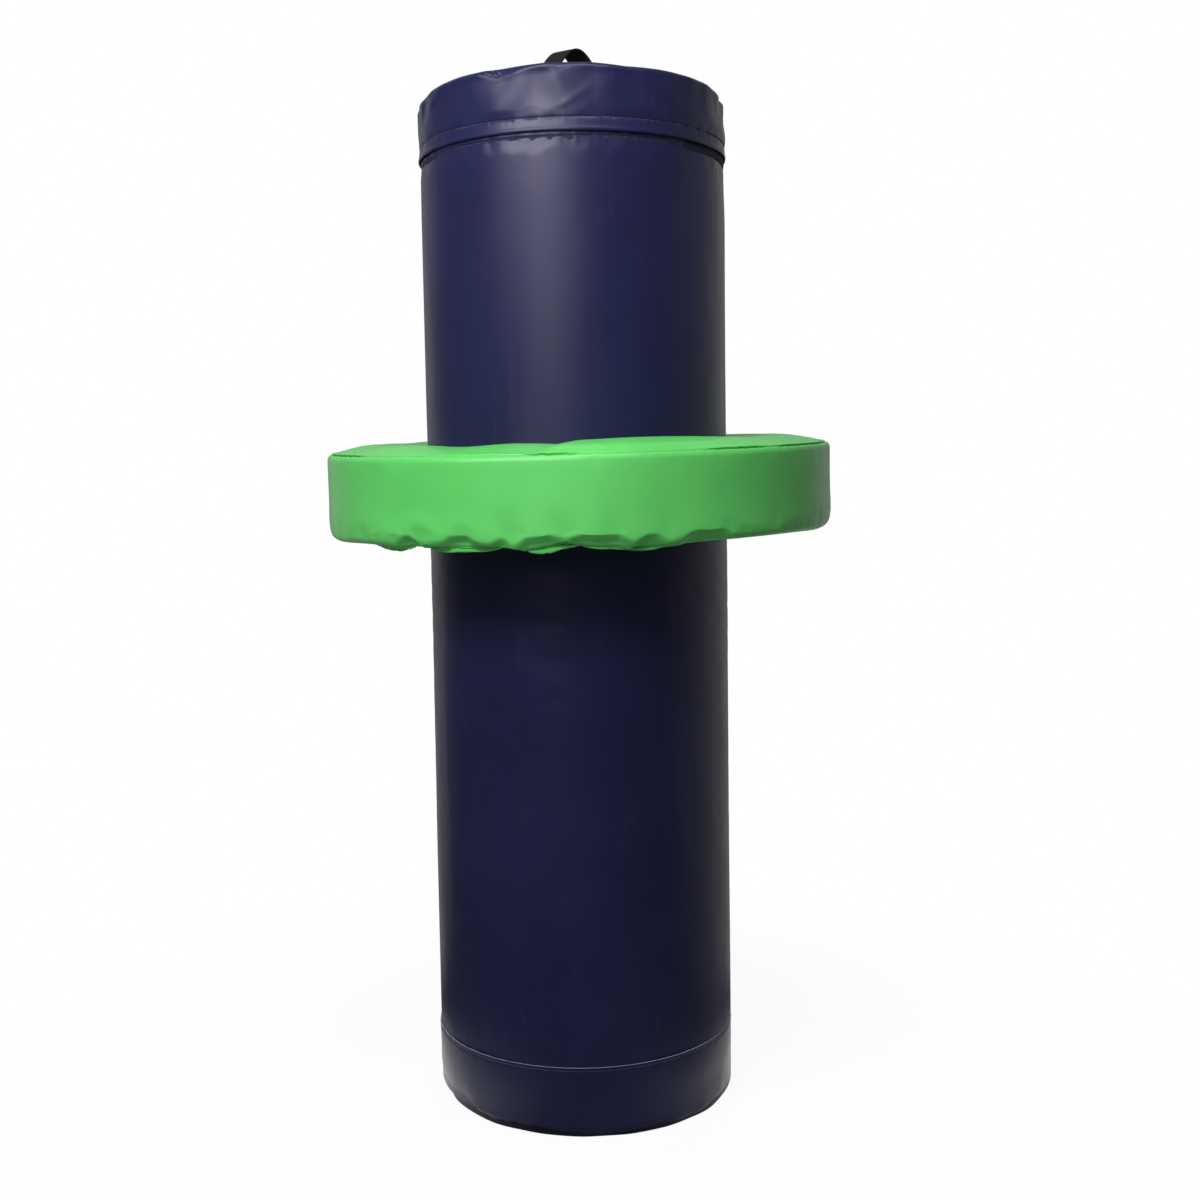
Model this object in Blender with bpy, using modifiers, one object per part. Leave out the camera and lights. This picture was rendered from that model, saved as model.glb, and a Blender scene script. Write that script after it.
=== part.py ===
"""A free-standing tackling bag: a vinyl-covered foam column with a zip-off lid and a sliding foam ring.

Metres, +Z up, the front at -Y. The origin is the middle of the base, on the ground.
Angles round the bag are measured from the back (+Y) towards +X.
"""

import math

import bmesh
import bpy

# The bag as a whole
BAG_DIAMETER = 0.420
BAG_HEIGHT = 1.380
VINYL = 0.0012
SEAM_GAP = 0.0003
RUNNING_GAP = 0.0006
MERGE_DISTANCE = 0.00001
CUT_OVERRUN = 0.010

# The base: a heavy dished panel and the band that laps the foot of the cover
BASE_PANEL_THICKNESS = 0.0020
BASE_CORNER = 0.009
BOTTOM_BAND_TOP = 0.097
COVER_TUCK = 0.006

# The foam column
BASE_PAD_THICKNESS = 0.048
CORE_DIAMETER = 0.220
WRAP_SLIT = 0.0010

# The lid, whose lower hem is a flap over the zip
LID_HEIGHT = 0.078
FLAP_STANDOFF = 0.0006
FLAP_OVERLAP = 0.003
TOP_CORNER = 0.009
PAD_EASE = 0.0006

# The zip, from the flap inwards
ZIP_RECESS = 0.0014
OUTER_PLATE = 0.0012
COIL_THICKNESS = 0.0020
COIL_HEIGHT = 0.0026
TAPE_THICKNESS = 0.0007
TAPE_WIDTH = 0.019
TAPE_FLARE = 0.0035
INNER_PLATE = 0.0013

# The slider and its pull tab
SLIDER_HEIGHT = 0.010
SLIDER_LENGTH = 0.014
SLIDER_WEB = 0.0005
WEB_PLAY = 0.00035
BRIDGE_LENGTH = 0.0096
BRIDGE_WIDTH = 0.0026
BRIDGE_POST = 0.0010
BRIDGE_THICKNESS = 0.0006
TAB_LENGTH = 0.024
TAB_THICKNESS = 0.0008
TAB_BAR = 0.0008
TAB_RAIL = 0.0015
TAB_PLAY = 0.0005
EYE_PLAY = 0.0012
EYE_SIDE_PLAY = 0.0008
STOP_LENGTH = 0.003
STOP_DEPTH = 0.0022

# The hinge at the back of the lid, and the two windows that bare the ends of the zip
TONGUE_WIDTH = 0.060
HINGE_PATCH_DROP = 0.030
PARK_MARGIN = 0.006
WINDOW_MARGIN = 0.018
WINDOW_HEADROOM = 0.0015

# The webbing carry handle
HANDLE_WIDTH = 0.050
WEBBING = 0.0025
HANDLE_RISE = 0.0706
HANDLE_HALF_SPAN = 0.075
HANDLE_FOOT = 0.050
HANDLE_TURN = math.radians(30)

# The foam ring
RING_WIDTH = 0.1378
RING_BAND_HEIGHT = 0.113
RING_BOTTOM = 0.802
RING_CORNER = 0.010
RING_CROWN = 0.010
SLEEVE_THICKNESS = 0.0010
RING_SEAM_ANGLE = math.radians(60)

# How the ring sits askew on the bag: the rise of its faces for each metre to the right and to the back
RING_RISE_RIGHT = 0.012
RING_RISE_BACK = 0.037

# How finely round shapes are drawn
ROUND_STEPS = 48
CORNER_STEPS = 3
CROWN_STEPS = 4
HANDLE_STEPS = 14

# Radii that the pieces share
BAG_RADIUS = BAG_DIAMETER / 2
COVER_INNER = BAG_RADIUS - VINYL
FOAM_RADIUS = COVER_INNER - SEAM_GAP
BOTTOM_BAND_OUTER = BAG_RADIUS + SEAM_GAP + VINYL
LID_INNER = BAG_RADIUS + FLAP_STANDOFF
LID_OUTER = LID_INNER + VINYL
BRIDGE_SPACE = TAB_THICKNESS + TAB_PLAY
BRIDGE_OUTER = LID_INNER - ZIP_RECESS
PLATE_OUTER = BRIDGE_OUTER - BRIDGE_THICKNESS - BRIDGE_SPACE
PIVOT_RADIUS = PLATE_OUTER + BRIDGE_SPACE / 2
COIL_OUTER = PLATE_OUTER - OUTER_PLATE - SEAM_GAP
TAPE_OUTER = COIL_OUTER - COIL_THICKNESS - SEAM_GAP
TAPE_INNER = TAPE_OUTER - TAPE_THICKNESS
INNER_PLATE_OUTER = TAPE_INNER - RUNNING_GAP
NECK_RADIUS = INNER_PLATE_OUTER - INNER_PLATE - RUNNING_GAP

# Heights that the pieces share
FLAP_EDGE = BAG_HEIGHT - LID_HEIGHT
COVER_TOP = FLAP_EDGE + FLAP_OVERLAP
ZIP_LINE = COVER_TOP + RUNNING_GAP + SLIDER_HEIGHT / 2
FLARE_START = SLIDER_HEIGHT / 2 + RUNNING_GAP
LID_PAD_BOTTOM = ZIP_LINE + FLARE_START
CHAIN_SLOT = SLIDER_WEB + 2 * WEB_PLAY
COLUMN_BOTTOM = BASE_PANEL_THICKNESS + SEAM_GAP + BASE_PAD_THICKNESS + SEAM_GAP
COLUMN_TOP = LID_PAD_BOTTOM - SEAM_GAP
RING_TOP = RING_BOTTOM + RING_BAND_HEIGHT

# Angles round the bag, which follow the sizes of what has to fit there
TONGUE_ANGLE = TONGUE_WIDTH / 2 / LID_OUTER
TAB_ANGLE = TAB_LENGTH / PIVOT_RADIUS
HALF_SLIDER_ANGLE = SLIDER_LENGTH / 2 / COIL_OUTER
PARK_ANGLE = TONGUE_ANGLE + TAB_ANGLE + PARK_MARGIN / PIVOT_RADIUS
UPPER_CHAIN_START = PARK_ANGLE + HALF_SLIDER_ANGLE + RUNNING_GAP / COIL_OUTER
LOWER_CHAIN_START = PARK_ANGLE - HALF_SLIDER_ANGLE
STOP_ANGLE = LOWER_CHAIN_START - (STOP_LENGTH / 2 + RUNNING_GAP) / COIL_OUTER
LOWER_TAPE_START = STOP_ANGLE - STOP_LENGTH / COIL_OUTER
WINDOW_END = PARK_ANGLE + TAB_ANGLE + WINDOW_MARGIN / PIVOT_RADIUS

# The ring's own radii, from the bag outwards
SLEEVE_INNER = BAG_RADIUS + RUNNING_GAP
SLEEVE_OUTER = SLEEVE_INNER + SLEEVE_THICKNESS
RING_INNER = SLEEVE_OUTER + RUNNING_GAP
RING_OUTER = RING_INNER + RING_WIDTH


def start_scene():
    """Clears the scene and returns the collections for the parts and the cutters."""
    for old in list(bpy.data.objects):
        bpy.data.objects.remove(old)
    parts = bpy.data.collections.new("tackling_bag")
    cutters = bpy.data.collections.new("cutters")
    for group in (parts, cutters):
        bpy.context.scene.collection.children.link(group)
    return parts, cutters


def material(name, colour, roughness, metallic=0.0):
    made = bpy.data.materials.new(name)
    made.use_nodes = True
    shader = made.node_tree.nodes["Principled BSDF"]
    shader.inputs["Base Color"].default_value = (*colour, 1.0)
    shader.inputs["Roughness"].default_value = roughness
    shader.inputs["Metallic"].default_value = metallic
    return made


PARTS, CUTTERS = start_scene()
NAVY_VINYL = material("navy_vinyl", (0.018, 0.018, 0.075), 0.38)
BASE_VINYL = material("base_vinyl", (0.014, 0.014, 0.050), 0.50)
GREEN_VINYL = material("green_vinyl", (0.050, 0.480, 0.090), 0.36)
BLACK_WEBBING = material("black_webbing", (0.010, 0.010, 0.011), 0.80)
ZIP_TAPE = material("zip_tape", (0.012, 0.012, 0.030), 0.75)
ZIP_NYLON = material("zip_nylon", (0.015, 0.015, 0.028), 0.35)
ZIP_METAL = material("zip_metal", (0.450, 0.450, 0.460), 0.30, 1.0)
COLUMN_FOAM = material("column_foam", (0.300, 0.310, 0.330), 0.95)
WRAP_FOAM = material("wrap_foam", (0.780, 0.740, 0.560), 0.95)


def add(name, data, finish):
    """A new part that shows data, with its finish."""
    data.materials.append(finish)
    piece = bpy.data.objects.new(name, data)
    PARTS.objects.link(piece)
    return piece


def arc(centre, radius, start, end, steps=CORNER_STEPS):
    """Points of an arc from one angle to the other."""
    return [
        (
            centre[0] + radius * math.cos(start + (end - start) * i / steps),
            centre[1] + radius * math.sin(start + (end - start) * i / steps),
        )
        for i in range(steps + 1)
    ]


def turned(name, profile, finish, on_axis=False):
    """A round piece. Its profile of (radius, height) points runs down its outer side."""
    edges = [(i, i + 1) for i in range(len(profile) - 1)]
    if not on_axis:
        edges.append((len(profile) - 1, 0))
    mesh = bpy.data.meshes.new(name)
    mesh.from_pydata([(r, 0.0, z) for r, z in profile], edges, [])
    piece = add(name, mesh, finish)
    screw = piece.modifiers.new("turn", "SCREW")
    screw.steps = screw.render_steps = ROUND_STEPS
    screw.use_merge_vertices = True
    screw.merge_threshold = MERGE_DISTANCE
    screw.use_smooth_shade = True
    return piece


def tube(name, outer, inner, top, bottom, finish):
    return turned(name, [(outer, top), (outer, bottom), (inner, bottom), (inner, top)], finish)


def plate(name, outline, depth, finish, holes=()):
    """A flat piece in its own XY plane, half of its depth on each side."""
    curve = bpy.data.curves.new(name, "CURVE")
    curve.dimensions = "2D"
    curve.fill_mode = "BOTH"
    curve.extrude = depth / 2
    for loop in (outline, *holes):
        spline = curve.splines.new("POLY")
        spline.points.add(len(loop) - 1)
        for point, (x, y) in zip(spline.points, loop):
            point.co = (x, y, 0.0, 1.0)
        spline.use_cyclic_u = True
    return add(name, curve, finish)


def as_mesh(piece):
    """The same piece as a mesh, so that a Boolean takes it."""
    bpy.context.view_layer.update()
    graph = bpy.context.evaluated_depsgraph_get()
    mesh = bpy.data.meshes.new_from_object(piece.evaluated_get(graph))
    shell = bmesh.new()
    shell.from_mesh(mesh)
    bmesh.ops.remove_doubles(shell, verts=shell.verts, dist=MERGE_DISTANCE)
    shell.to_mesh(mesh)
    shell.free()
    name, place = piece.name, piece.matrix_world.copy()
    for group in list(piece.users_collection):
        group.objects.unlink(piece)
    bpy.data.objects.remove(piece)
    solid = bpy.data.objects.new(name, mesh)
    solid.matrix_world = place
    PARTS.objects.link(solid)
    return solid


def as_cutter(piece):
    PARTS.objects.unlink(piece)
    CUTTERS.objects.link(piece)
    piece.hide_render = True
    piece.display_type = "WIRE"
    return piece


def sector(name, start, end, inner, outer, bottom, top):
    """A cutter that fills a sector between two angles from the back."""
    middle = (start + end) / 2
    reach = outer / math.cos((end - start) / 2)
    rim = [(inner, start), (reach, start), (reach, middle), (reach, end), (inner, end)]
    outline = [(radius * math.sin(angle), radius * math.cos(angle)) for radius, angle in rim]
    block = plate(name, outline, top - bottom, BASE_VINYL)
    block.location.z = (top + bottom) / 2
    return as_cutter(as_mesh(block))


def boolean(piece, tool, operation):
    modifier = piece.modifiers.new(tool.name, "BOOLEAN")
    modifier.object = tool
    modifier.operation = operation
    modifier.solver = "EXACT"


def make_base():
    corner = (BOTTOM_BAND_OUTER - BASE_CORNER, BASE_CORNER)
    turned(
        "base_panel",
        [(0.0, BASE_PANEL_THICKNESS)]
        + arc(corner, BASE_CORNER - BASE_PANEL_THICKNESS, -math.pi / 2, 0.0)
        + arc(corner, BASE_CORNER, 0.0, -math.pi / 2)
        + [(0.0, 0.0)],
        BASE_VINYL,
        on_axis=True,
    )
    tube(
        "bottom_band",
        BOTTOM_BAND_OUTER,
        BOTTOM_BAND_OUTER - VINYL,
        BOTTOM_BAND_TOP,
        BASE_CORNER + SEAM_GAP,
        NAVY_VINYL,
    )
    tube("bag_cover", BAG_RADIUS, COVER_INNER, COVER_TOP, BASE_CORNER + COVER_TUCK, NAVY_VINYL)


def make_column():
    """The foam inside: a pad on the base, a firm core, and a softer sheet wrapped round it."""
    pad_bottom = BASE_PANEL_THICKNESS + SEAM_GAP
    pad_top = pad_bottom + BASE_PAD_THICKNESS
    corner = (FOAM_RADIUS - BASE_CORNER, pad_bottom + BASE_CORNER)
    turned(
        "base_foam_pad",
        [(0.0, pad_top), (FOAM_RADIUS, pad_top)]
        + arc(corner, BASE_CORNER, 0.0, -math.pi / 2)
        + [(0.0, pad_bottom)],
        COLUMN_FOAM,
        on_axis=True,
    )
    core_radius = CORE_DIAMETER / 2
    turned(
        "foam_core",
        [(0.0, COLUMN_TOP), (core_radius, COLUMN_TOP), (core_radius, COLUMN_BOTTOM), (0.0, COLUMN_BOTTOM)],
        COLUMN_FOAM,
        on_axis=True,
    )
    shoulder = ZIP_LINE - TAPE_WIDTH - TAPE_THICKNESS - SEAM_GAP
    wrap_inner = core_radius + SEAM_GAP
    wrap = turned(
        "foam_wrap",
        [
            (NECK_RADIUS, COLUMN_TOP),
            (NECK_RADIUS, shoulder + FOAM_RADIUS - NECK_RADIUS),
            (FOAM_RADIUS, shoulder),
            (FOAM_RADIUS, COLUMN_BOTTOM),
            (wrap_inner, COLUMN_BOTTOM),
            (wrap_inner, COLUMN_TOP),
        ],
        WRAP_FOAM,
    )
    slit = plate(
        "wrap_slit_cutter",
        [
            (-WRAP_SLIT / 2, core_radius - CUT_OVERRUN),
            (WRAP_SLIT / 2, core_radius - CUT_OVERRUN),
            (WRAP_SLIT / 2, BAG_RADIUS + CUT_OVERRUN),
            (-WRAP_SLIT / 2, BAG_RADIUS + CUT_OVERRUN),
        ],
        BAG_HEIGHT + 2 * CUT_OVERRUN,
        BASE_VINYL,
    )
    slit.location.z = BAG_HEIGHT / 2
    boolean(wrap, as_cutter(as_mesh(slit)), "DIFFERENCE")


def make_lid():
    """The lid's band with its hinge tongue and windows, the top panel and the foam under it."""
    corner = (LID_OUTER - TOP_CORNER, BAG_HEIGHT - TOP_CORNER)
    band = turned(
        "lid_band",
        arc(corner, TOP_CORNER, math.pi / 2, 0.0)
        + [(LID_OUTER, FLAP_EDGE), (LID_INNER, FLAP_EDGE)]
        + arc(corner, TOP_CORNER - VINYL, 0.0, math.pi / 2),
        NAVY_VINYL,
    )
    for side in (1, -1):
        window = sector(
            "window_cutter_right" if side > 0 else "window_cutter_left",
            side * TONGUE_ANGLE,
            side * WINDOW_END,
            BAG_RADIUS - CUT_OVERRUN,
            LID_OUTER + CUT_OVERRUN,
            FLAP_EDGE - CUT_OVERRUN,
            ZIP_LINE + SLIDER_HEIGHT / 2 + WINDOW_HEADROOM,
        )
        boolean(band, window, "DIFFERENCE")
    panel_radius = corner[0] - SEAM_GAP
    turned(
        "lid_panel",
        [
            (0.0, BAG_HEIGHT),
            (panel_radius, BAG_HEIGHT),
            (panel_radius, BAG_HEIGHT - VINYL),
            (0.0, BAG_HEIGHT - VINYL),
        ],
        NAVY_VINYL,
        on_axis=True,
    )
    pad_radius = LID_INNER - SEAM_GAP - TAPE_THICKNESS - PAD_EASE
    pad_top = BAG_HEIGHT - VINYL - SEAM_GAP
    flare_top = ZIP_LINE + FLARE_START + TAPE_FLARE + TAPE_THICKNESS + PAD_EASE
    turned(
        "lid_foam_pad",
        [(0.0, pad_top)]
        + arc((pad_radius - TOP_CORNER, pad_top - TOP_CORNER), TOP_CORNER, math.pi / 2, 0.0)
        + [
            (pad_radius, flare_top),
            (NECK_RADIUS, flare_top - TAPE_FLARE - TAPE_THICKNESS),
            (NECK_RADIUS, LID_PAD_BOTTOM),
            (0.0, LID_PAD_BOTTOM),
        ],
        WRAP_FOAM,
        on_axis=True,
    )


def zip_tape_profile(sign, far_outer):
    """A zip tape's section: flat behind the coil, then out to the wall that it is sewn to.

    sign is 1 above the zip line and -1 below it. The points run down the outer side.
    """
    drift = TAPE_THICKNESS * sign
    near, bend = sign * CHAIN_SLOT / 2, sign * FLARE_START
    seat, end = sign * (FLARE_START + TAPE_FLARE), sign * TAPE_WIDTH
    outer = [(TAPE_OUTER, near), (TAPE_OUTER, bend), (far_outer, seat), (far_outer, end)]
    inner = [
        (far_outer - TAPE_THICKNESS, end),
        (far_outer - TAPE_THICKNESS, seat + drift),
        (TAPE_INNER, bend + drift),
        (TAPE_INNER, near),
    ]
    loop = outer + inner if sign < 0 else outer[::-1] + inner[::-1]
    return [(radius, ZIP_LINE + height) for radius, height in loop]


def make_zip():
    """Both halves of the zip. The upper one stops short of where the slider parks."""
    upper_gap = sector(
        "upper_chain_cutter",
        -UPPER_CHAIN_START,
        UPPER_CHAIN_START,
        NECK_RADIUS - CUT_OVERRUN,
        LID_OUTER + CUT_OVERRUN,
        ZIP_LINE - CUT_OVERRUN,
        ZIP_LINE + TAPE_WIDTH + CUT_OVERRUN,
    )
    lower_coil_gap, lower_tape_gap = (
        sector(
            name,
            -angle,
            angle,
            NECK_RADIUS - CUT_OVERRUN,
            LID_OUTER + CUT_OVERRUN,
            ZIP_LINE - TAPE_WIDTH - CUT_OVERRUN,
            ZIP_LINE + CUT_OVERRUN,
        )
        for name, angle in (
            ("lower_coil_cutter", LOWER_CHAIN_START),
            ("lower_tape_cutter", LOWER_TAPE_START),
        )
    )
    for name, sign, wall, coil_gap, tape_gap in (
        ("upper", 1, LID_INNER, upper_gap, upper_gap),
        ("lower", -1, COVER_INNER, lower_coil_gap, lower_tape_gap),
    ):
        tape = turned("zip_tape_" + name, zip_tape_profile(sign, wall - SEAM_GAP), ZIP_TAPE)
        boolean(tape, tape_gap, "DIFFERENCE")
        edges = sorted(ZIP_LINE + sign * (CHAIN_SLOT / 2 + rise) for rise in (0.0, COIL_HEIGHT))
        coil = tube(
            "zip_coil_" + name,
            COIL_OUTER,
            COIL_OUTER - COIL_THICKNESS,
            edges[1],
            edges[0],
            ZIP_NYLON,
        )
        boolean(coil, coil_gap, "DIFFERENCE")
    stop_height = ZIP_LINE - CHAIN_SLOT / 2 - COIL_HEIGHT / 2
    for name, side in (("zip_stop_right", 1), ("zip_stop_left", -1)):
        stop = plate(name, rectangle(STOP_LENGTH, STOP_DEPTH), COIL_HEIGHT, ZIP_METAL)
        reach = TAPE_OUTER + SEAM_GAP + STOP_DEPTH / 2
        place_round_bag(stop, side * STOP_ANGLE, reach, stop_height)


def rectangle(width, height):
    half_width, half_height = width / 2, height / 2
    return [
        (-half_width, -half_height),
        (half_width, -half_height),
        (half_width, half_height),
        (-half_width, half_height),
    ]


def place_round_bag(piece, angle, radius, height):
    """Puts a piece at an angle from the back, its own Y pointing outwards."""
    piece.location = (radius * math.sin(angle), radius * math.cos(angle), height)
    piece.rotation_euler.z = -angle


def make_slider():
    """The zip slider, parked at the closed end, and the pull tab that lies along the zip."""
    axis = bpy.data.objects.new("slider_axis", None)
    PARTS.objects.link(axis)
    axis.rotation_euler.z = -PARK_ANGLE
    half, web = SLIDER_HEIGHT / 2, SLIDER_WEB / 2
    plate_inner = PLATE_OUTER - OUTER_PLATE
    inner_face = INNER_PLATE_OUTER - INNER_PLATE
    section = [
        (PLATE_OUTER, -half),
        (PLATE_OUTER, half),
        (plate_inner, half),
        (plate_inner, web),
        (INNER_PLATE_OUTER, web),
        (INNER_PLATE_OUTER, half),
        (inner_face, half),
        (inner_face, -half),
        (INNER_PLATE_OUTER, -half),
        (INNER_PLATE_OUTER, -web),
        (plate_inner, -web),
        (plate_inner, -half),
    ]
    body = plate("zip_slider", section, SLIDER_LENGTH, ZIP_METAL)
    body.rotation_euler = (math.pi / 2, 0.0, math.pi / 2)
    body.location.z = ZIP_LINE
    body.parent = axis
    end, post = BRIDGE_LENGTH / 2, BRIDGE_LENGTH / 2 - BRIDGE_POST
    root = PLATE_OUTER - OUTER_PLATE / 2
    under = PLATE_OUTER + BRIDGE_SPACE
    staple = [
        (-end, root),
        (-post, root),
        (-post, under),
        (post, under),
        (post, root),
        (end, root),
        (end, BRIDGE_OUTER),
        (-end, BRIDGE_OUTER),
    ]
    bridge = plate("bridge_former", staple, BRIDGE_WIDTH, ZIP_METAL)
    bridge.location.z = ZIP_LINE
    bridge.parent = axis
    bpy.context.view_layer.update()
    body = as_mesh(body)
    boolean(body, as_cutter(as_mesh(bridge)), "UNION")

    pivot = bpy.data.objects.new("tab_pivot", None)
    PARTS.objects.link(pivot)
    pivot.parent = axis
    pivot.location = (0.0, PIVOT_RADIUS, ZIP_LINE)
    eye_width = BRIDGE_WIDTH + 2 * EYE_SIDE_PLAY
    eye_end = BRIDGE_LENGTH / 2 + EYE_PLAY
    half_width = eye_width / 2 + TAB_RAIL
    tip = (TAB_LENGTH - half_width, 0.0)
    outline = [(-TAB_BAR / 2, half_width), (-TAB_BAR / 2, -half_width)]
    outline += arc(tip, half_width, -math.pi / 2, math.pi / 2, 2 * CORNER_STEPS)
    eye = [
        (TAB_BAR / 2, -eye_width / 2),
        (eye_end, -eye_width / 2),
        (eye_end, eye_width / 2),
        (TAB_BAR / 2, eye_width / 2),
    ]
    tab = plate("pull_tab", outline, TAB_THICKNESS, ZIP_METAL, holes=[eye])
    tab.rotation_euler.x = math.pi / 2
    tab.parent = pivot


def make_hinge_patch():
    """The lower half of the vinyl strap at the back: sewn to the cover, below the fold."""
    top = FLAP_EDGE - SEAM_GAP
    patch = tube("hinge_patch", LID_OUTER, LID_INNER, top, top - HINGE_PATCH_DROP, NAVY_VINYL)
    keep = sector(
        "hinge_patch_former",
        -TONGUE_ANGLE,
        TONGUE_ANGLE,
        BAG_RADIUS - CUT_OVERRUN,
        LID_OUTER + CUT_OVERRUN,
        top - HINGE_PATCH_DROP - CUT_OVERRUN,
        top + CUT_OVERRUN,
    )
    boolean(patch, keep, "INTERSECT")


def make_handle():
    """One strip of webbing: two feet sewn flat to the lid and a bell-shaped loop between them."""
    base = WEBBING / 2
    centre = []
    for i in range(HANDLE_STEPS + 1):
        x = HANDLE_HALF_SPAN * (2 * i / HANDLE_STEPS - 1)
        lift = HANDLE_RISE * math.cos(math.pi * x / (2 * HANDLE_HALF_SPAN)) ** 2
        slope = -HANDLE_RISE * math.pi / (2 * HANDLE_HALF_SPAN) * math.sin(math.pi * x / HANDLE_HALF_SPAN)
        centre.append((x, base + lift, math.atan(slope)))
    far = HANDLE_HALF_SPAN + HANDLE_FOOT
    centre = [(-far, base, 0.0), *centre, (far, base, 0.0)]
    upper, lower = (
        [
            (x - side * WEBBING / 2 * math.sin(lean), z + side * WEBBING / 2 * math.cos(lean))
            for x, z, lean in centre
        ]
        for side in (1, -1)
    )
    handle = plate("carry_handle", lower + upper[::-1], HANDLE_WIDTH, BLACK_WEBBING)
    handle.rotation_euler = (math.pi / 2, 0.0, HANDLE_TURN)
    handle.location.z = BAG_HEIGHT + SEAM_GAP


def lean(piece):
    """Tilts the faces of a ring piece as the ring sits on the bag. Its upright walls stay upright."""
    piece = as_mesh(piece)
    for vertex in piece.data.vertices:
        vertex.co.z += RING_RISE_RIGHT * vertex.co.x + RING_RISE_BACK * vertex.co.y


def crown(inset):
    """Points over the ring's crowned face, from its outer seam to its inner edge.

    Heights are above the seam's circle of the ring's rounded corner, inset into the ring.
    """
    seam_radius = RING_OUTER - RING_CORNER * (1 - math.cos(RING_SEAM_ANGLE))
    seam_drop = RING_CORNER * (1 - math.sin(RING_SEAM_ANGLE))
    first = seam_radius - SEAM_GAP - inset * math.cos(RING_SEAM_ANGLE)
    points = []
    for i in range(CROWN_STEPS + 1):
        share = i / CROWN_STEPS
        height = RING_CROWN * math.sin(math.pi * share) - seam_drop * (1 - share)
        points.append((first + (RING_INNER - first) * share, height - inset))
    return points


def make_ring():
    """The ring's cover of four sewn panels, over two stacked rings of foam.

    RING_BOTTOM and RING_TOP are heights at the bag's axis, which the lean leaves as they are.
    """
    top_corner = (RING_OUTER - RING_CORNER, RING_TOP - RING_CORNER)
    bottom_corner = (RING_OUTER - RING_CORNER, RING_BOTTOM + RING_CORNER)
    outer_band = turned(
        "ring_outer_band",
        arc(top_corner, RING_CORNER, RING_SEAM_ANGLE, 0.0)
        + arc(bottom_corner, RING_CORNER, 0.0, -RING_SEAM_ANGLE)
        + arc(bottom_corner, RING_CORNER - VINYL, -RING_SEAM_ANGLE, 0.0)
        + arc(top_corner, RING_CORNER - VINYL, 0.0, RING_SEAM_ANGLE),
        GREEN_VINYL,
    )
    sleeve = tube("ring_sleeve", SLEEVE_OUTER, SLEEVE_INNER, RING_TOP, RING_BOTTOM, GREEN_VINYL)
    outside, inside = crown(0.0), crown(VINYL)
    top_panel = turned(
        "ring_top_panel",
        [(r, RING_TOP + z) for r, z in outside[::-1] + inside],
        GREEN_VINYL,
    )
    bottom_panel = turned(
        "ring_bottom_panel",
        [(r, RING_BOTTOM - z) for r, z in inside[::-1] + outside],
        GREEN_VINYL,
    )
    middle = (RING_TOP + RING_BOTTOM) / 2
    skin = VINYL + SEAM_GAP
    side = arc(top_corner, RING_CORNER - skin, 0.0, RING_SEAM_ANGLE)
    half = [(r, z - middle) for r, z in side]
    half += [(r, RING_TOP - middle + z) for r, z in crown(skin)[1:]]
    split = SEAM_GAP / 2
    section = [(RING_OUTER - skin, split), *half, (RING_INNER, split)]
    upper_foam = turned("ring_foam_upper", [(r, middle + z) for r, z in section[::-1]], WRAP_FOAM)
    lower_foam = turned("ring_foam_lower", [(r, middle - z) for r, z in section], WRAP_FOAM)
    for piece in (outer_band, sleeve, top_panel, bottom_panel, upper_foam, lower_foam):
        lean(piece)


make_base()
make_column()
make_lid()
make_zip()
make_slider()
make_hinge_patch()
make_handle()
make_ring()
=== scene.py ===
"""The looks of the tackling bag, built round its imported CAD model.

Metres, +Z up, the front at -Y. Angles round the bag start at the front and grow to the right, +X.
"""

import math
from contextlib import contextmanager

import bmesh
import bpy
import numpy as np
from mathutils import Matrix, Vector


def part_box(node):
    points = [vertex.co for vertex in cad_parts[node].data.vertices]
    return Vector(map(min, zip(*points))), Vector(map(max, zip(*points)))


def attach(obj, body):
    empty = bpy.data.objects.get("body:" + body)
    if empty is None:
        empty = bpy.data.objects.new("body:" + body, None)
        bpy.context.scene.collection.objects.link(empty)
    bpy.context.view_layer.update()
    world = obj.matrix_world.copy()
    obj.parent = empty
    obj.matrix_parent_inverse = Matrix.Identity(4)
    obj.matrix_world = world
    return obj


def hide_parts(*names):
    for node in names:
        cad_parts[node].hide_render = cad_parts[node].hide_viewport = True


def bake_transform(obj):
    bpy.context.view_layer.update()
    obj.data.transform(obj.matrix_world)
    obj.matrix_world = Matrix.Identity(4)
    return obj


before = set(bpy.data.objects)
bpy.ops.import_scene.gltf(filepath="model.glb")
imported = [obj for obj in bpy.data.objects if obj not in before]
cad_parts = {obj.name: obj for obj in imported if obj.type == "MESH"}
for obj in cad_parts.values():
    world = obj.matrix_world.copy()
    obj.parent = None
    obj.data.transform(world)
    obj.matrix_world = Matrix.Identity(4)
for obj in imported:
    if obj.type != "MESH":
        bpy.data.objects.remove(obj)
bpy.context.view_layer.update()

TURN = 2 * math.pi

# Places that the CAD nodes give
BAG_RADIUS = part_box("bag_cover")[1].x
COVER_BOTTOM, COVER_TOP = (corner.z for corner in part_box("bag_cover"))
FOOT_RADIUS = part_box("bottom_band")[1].x
FOOT_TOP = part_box("bottom_band")[1].z
LID_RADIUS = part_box("lid_band")[1].x
FLAP_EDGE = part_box("lid_band")[0].z
BAG_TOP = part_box("lid_panel")[1].z
LID_SEAM_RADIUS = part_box("lid_panel")[1].x
ZIP_LINE = (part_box("zip_tape_upper")[0].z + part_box("zip_tape_lower")[1].z) / 2
RING_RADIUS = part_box("ring_outer_band")[1].x
SLEEVE_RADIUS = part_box("ring_sleeve")[1].x

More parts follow.
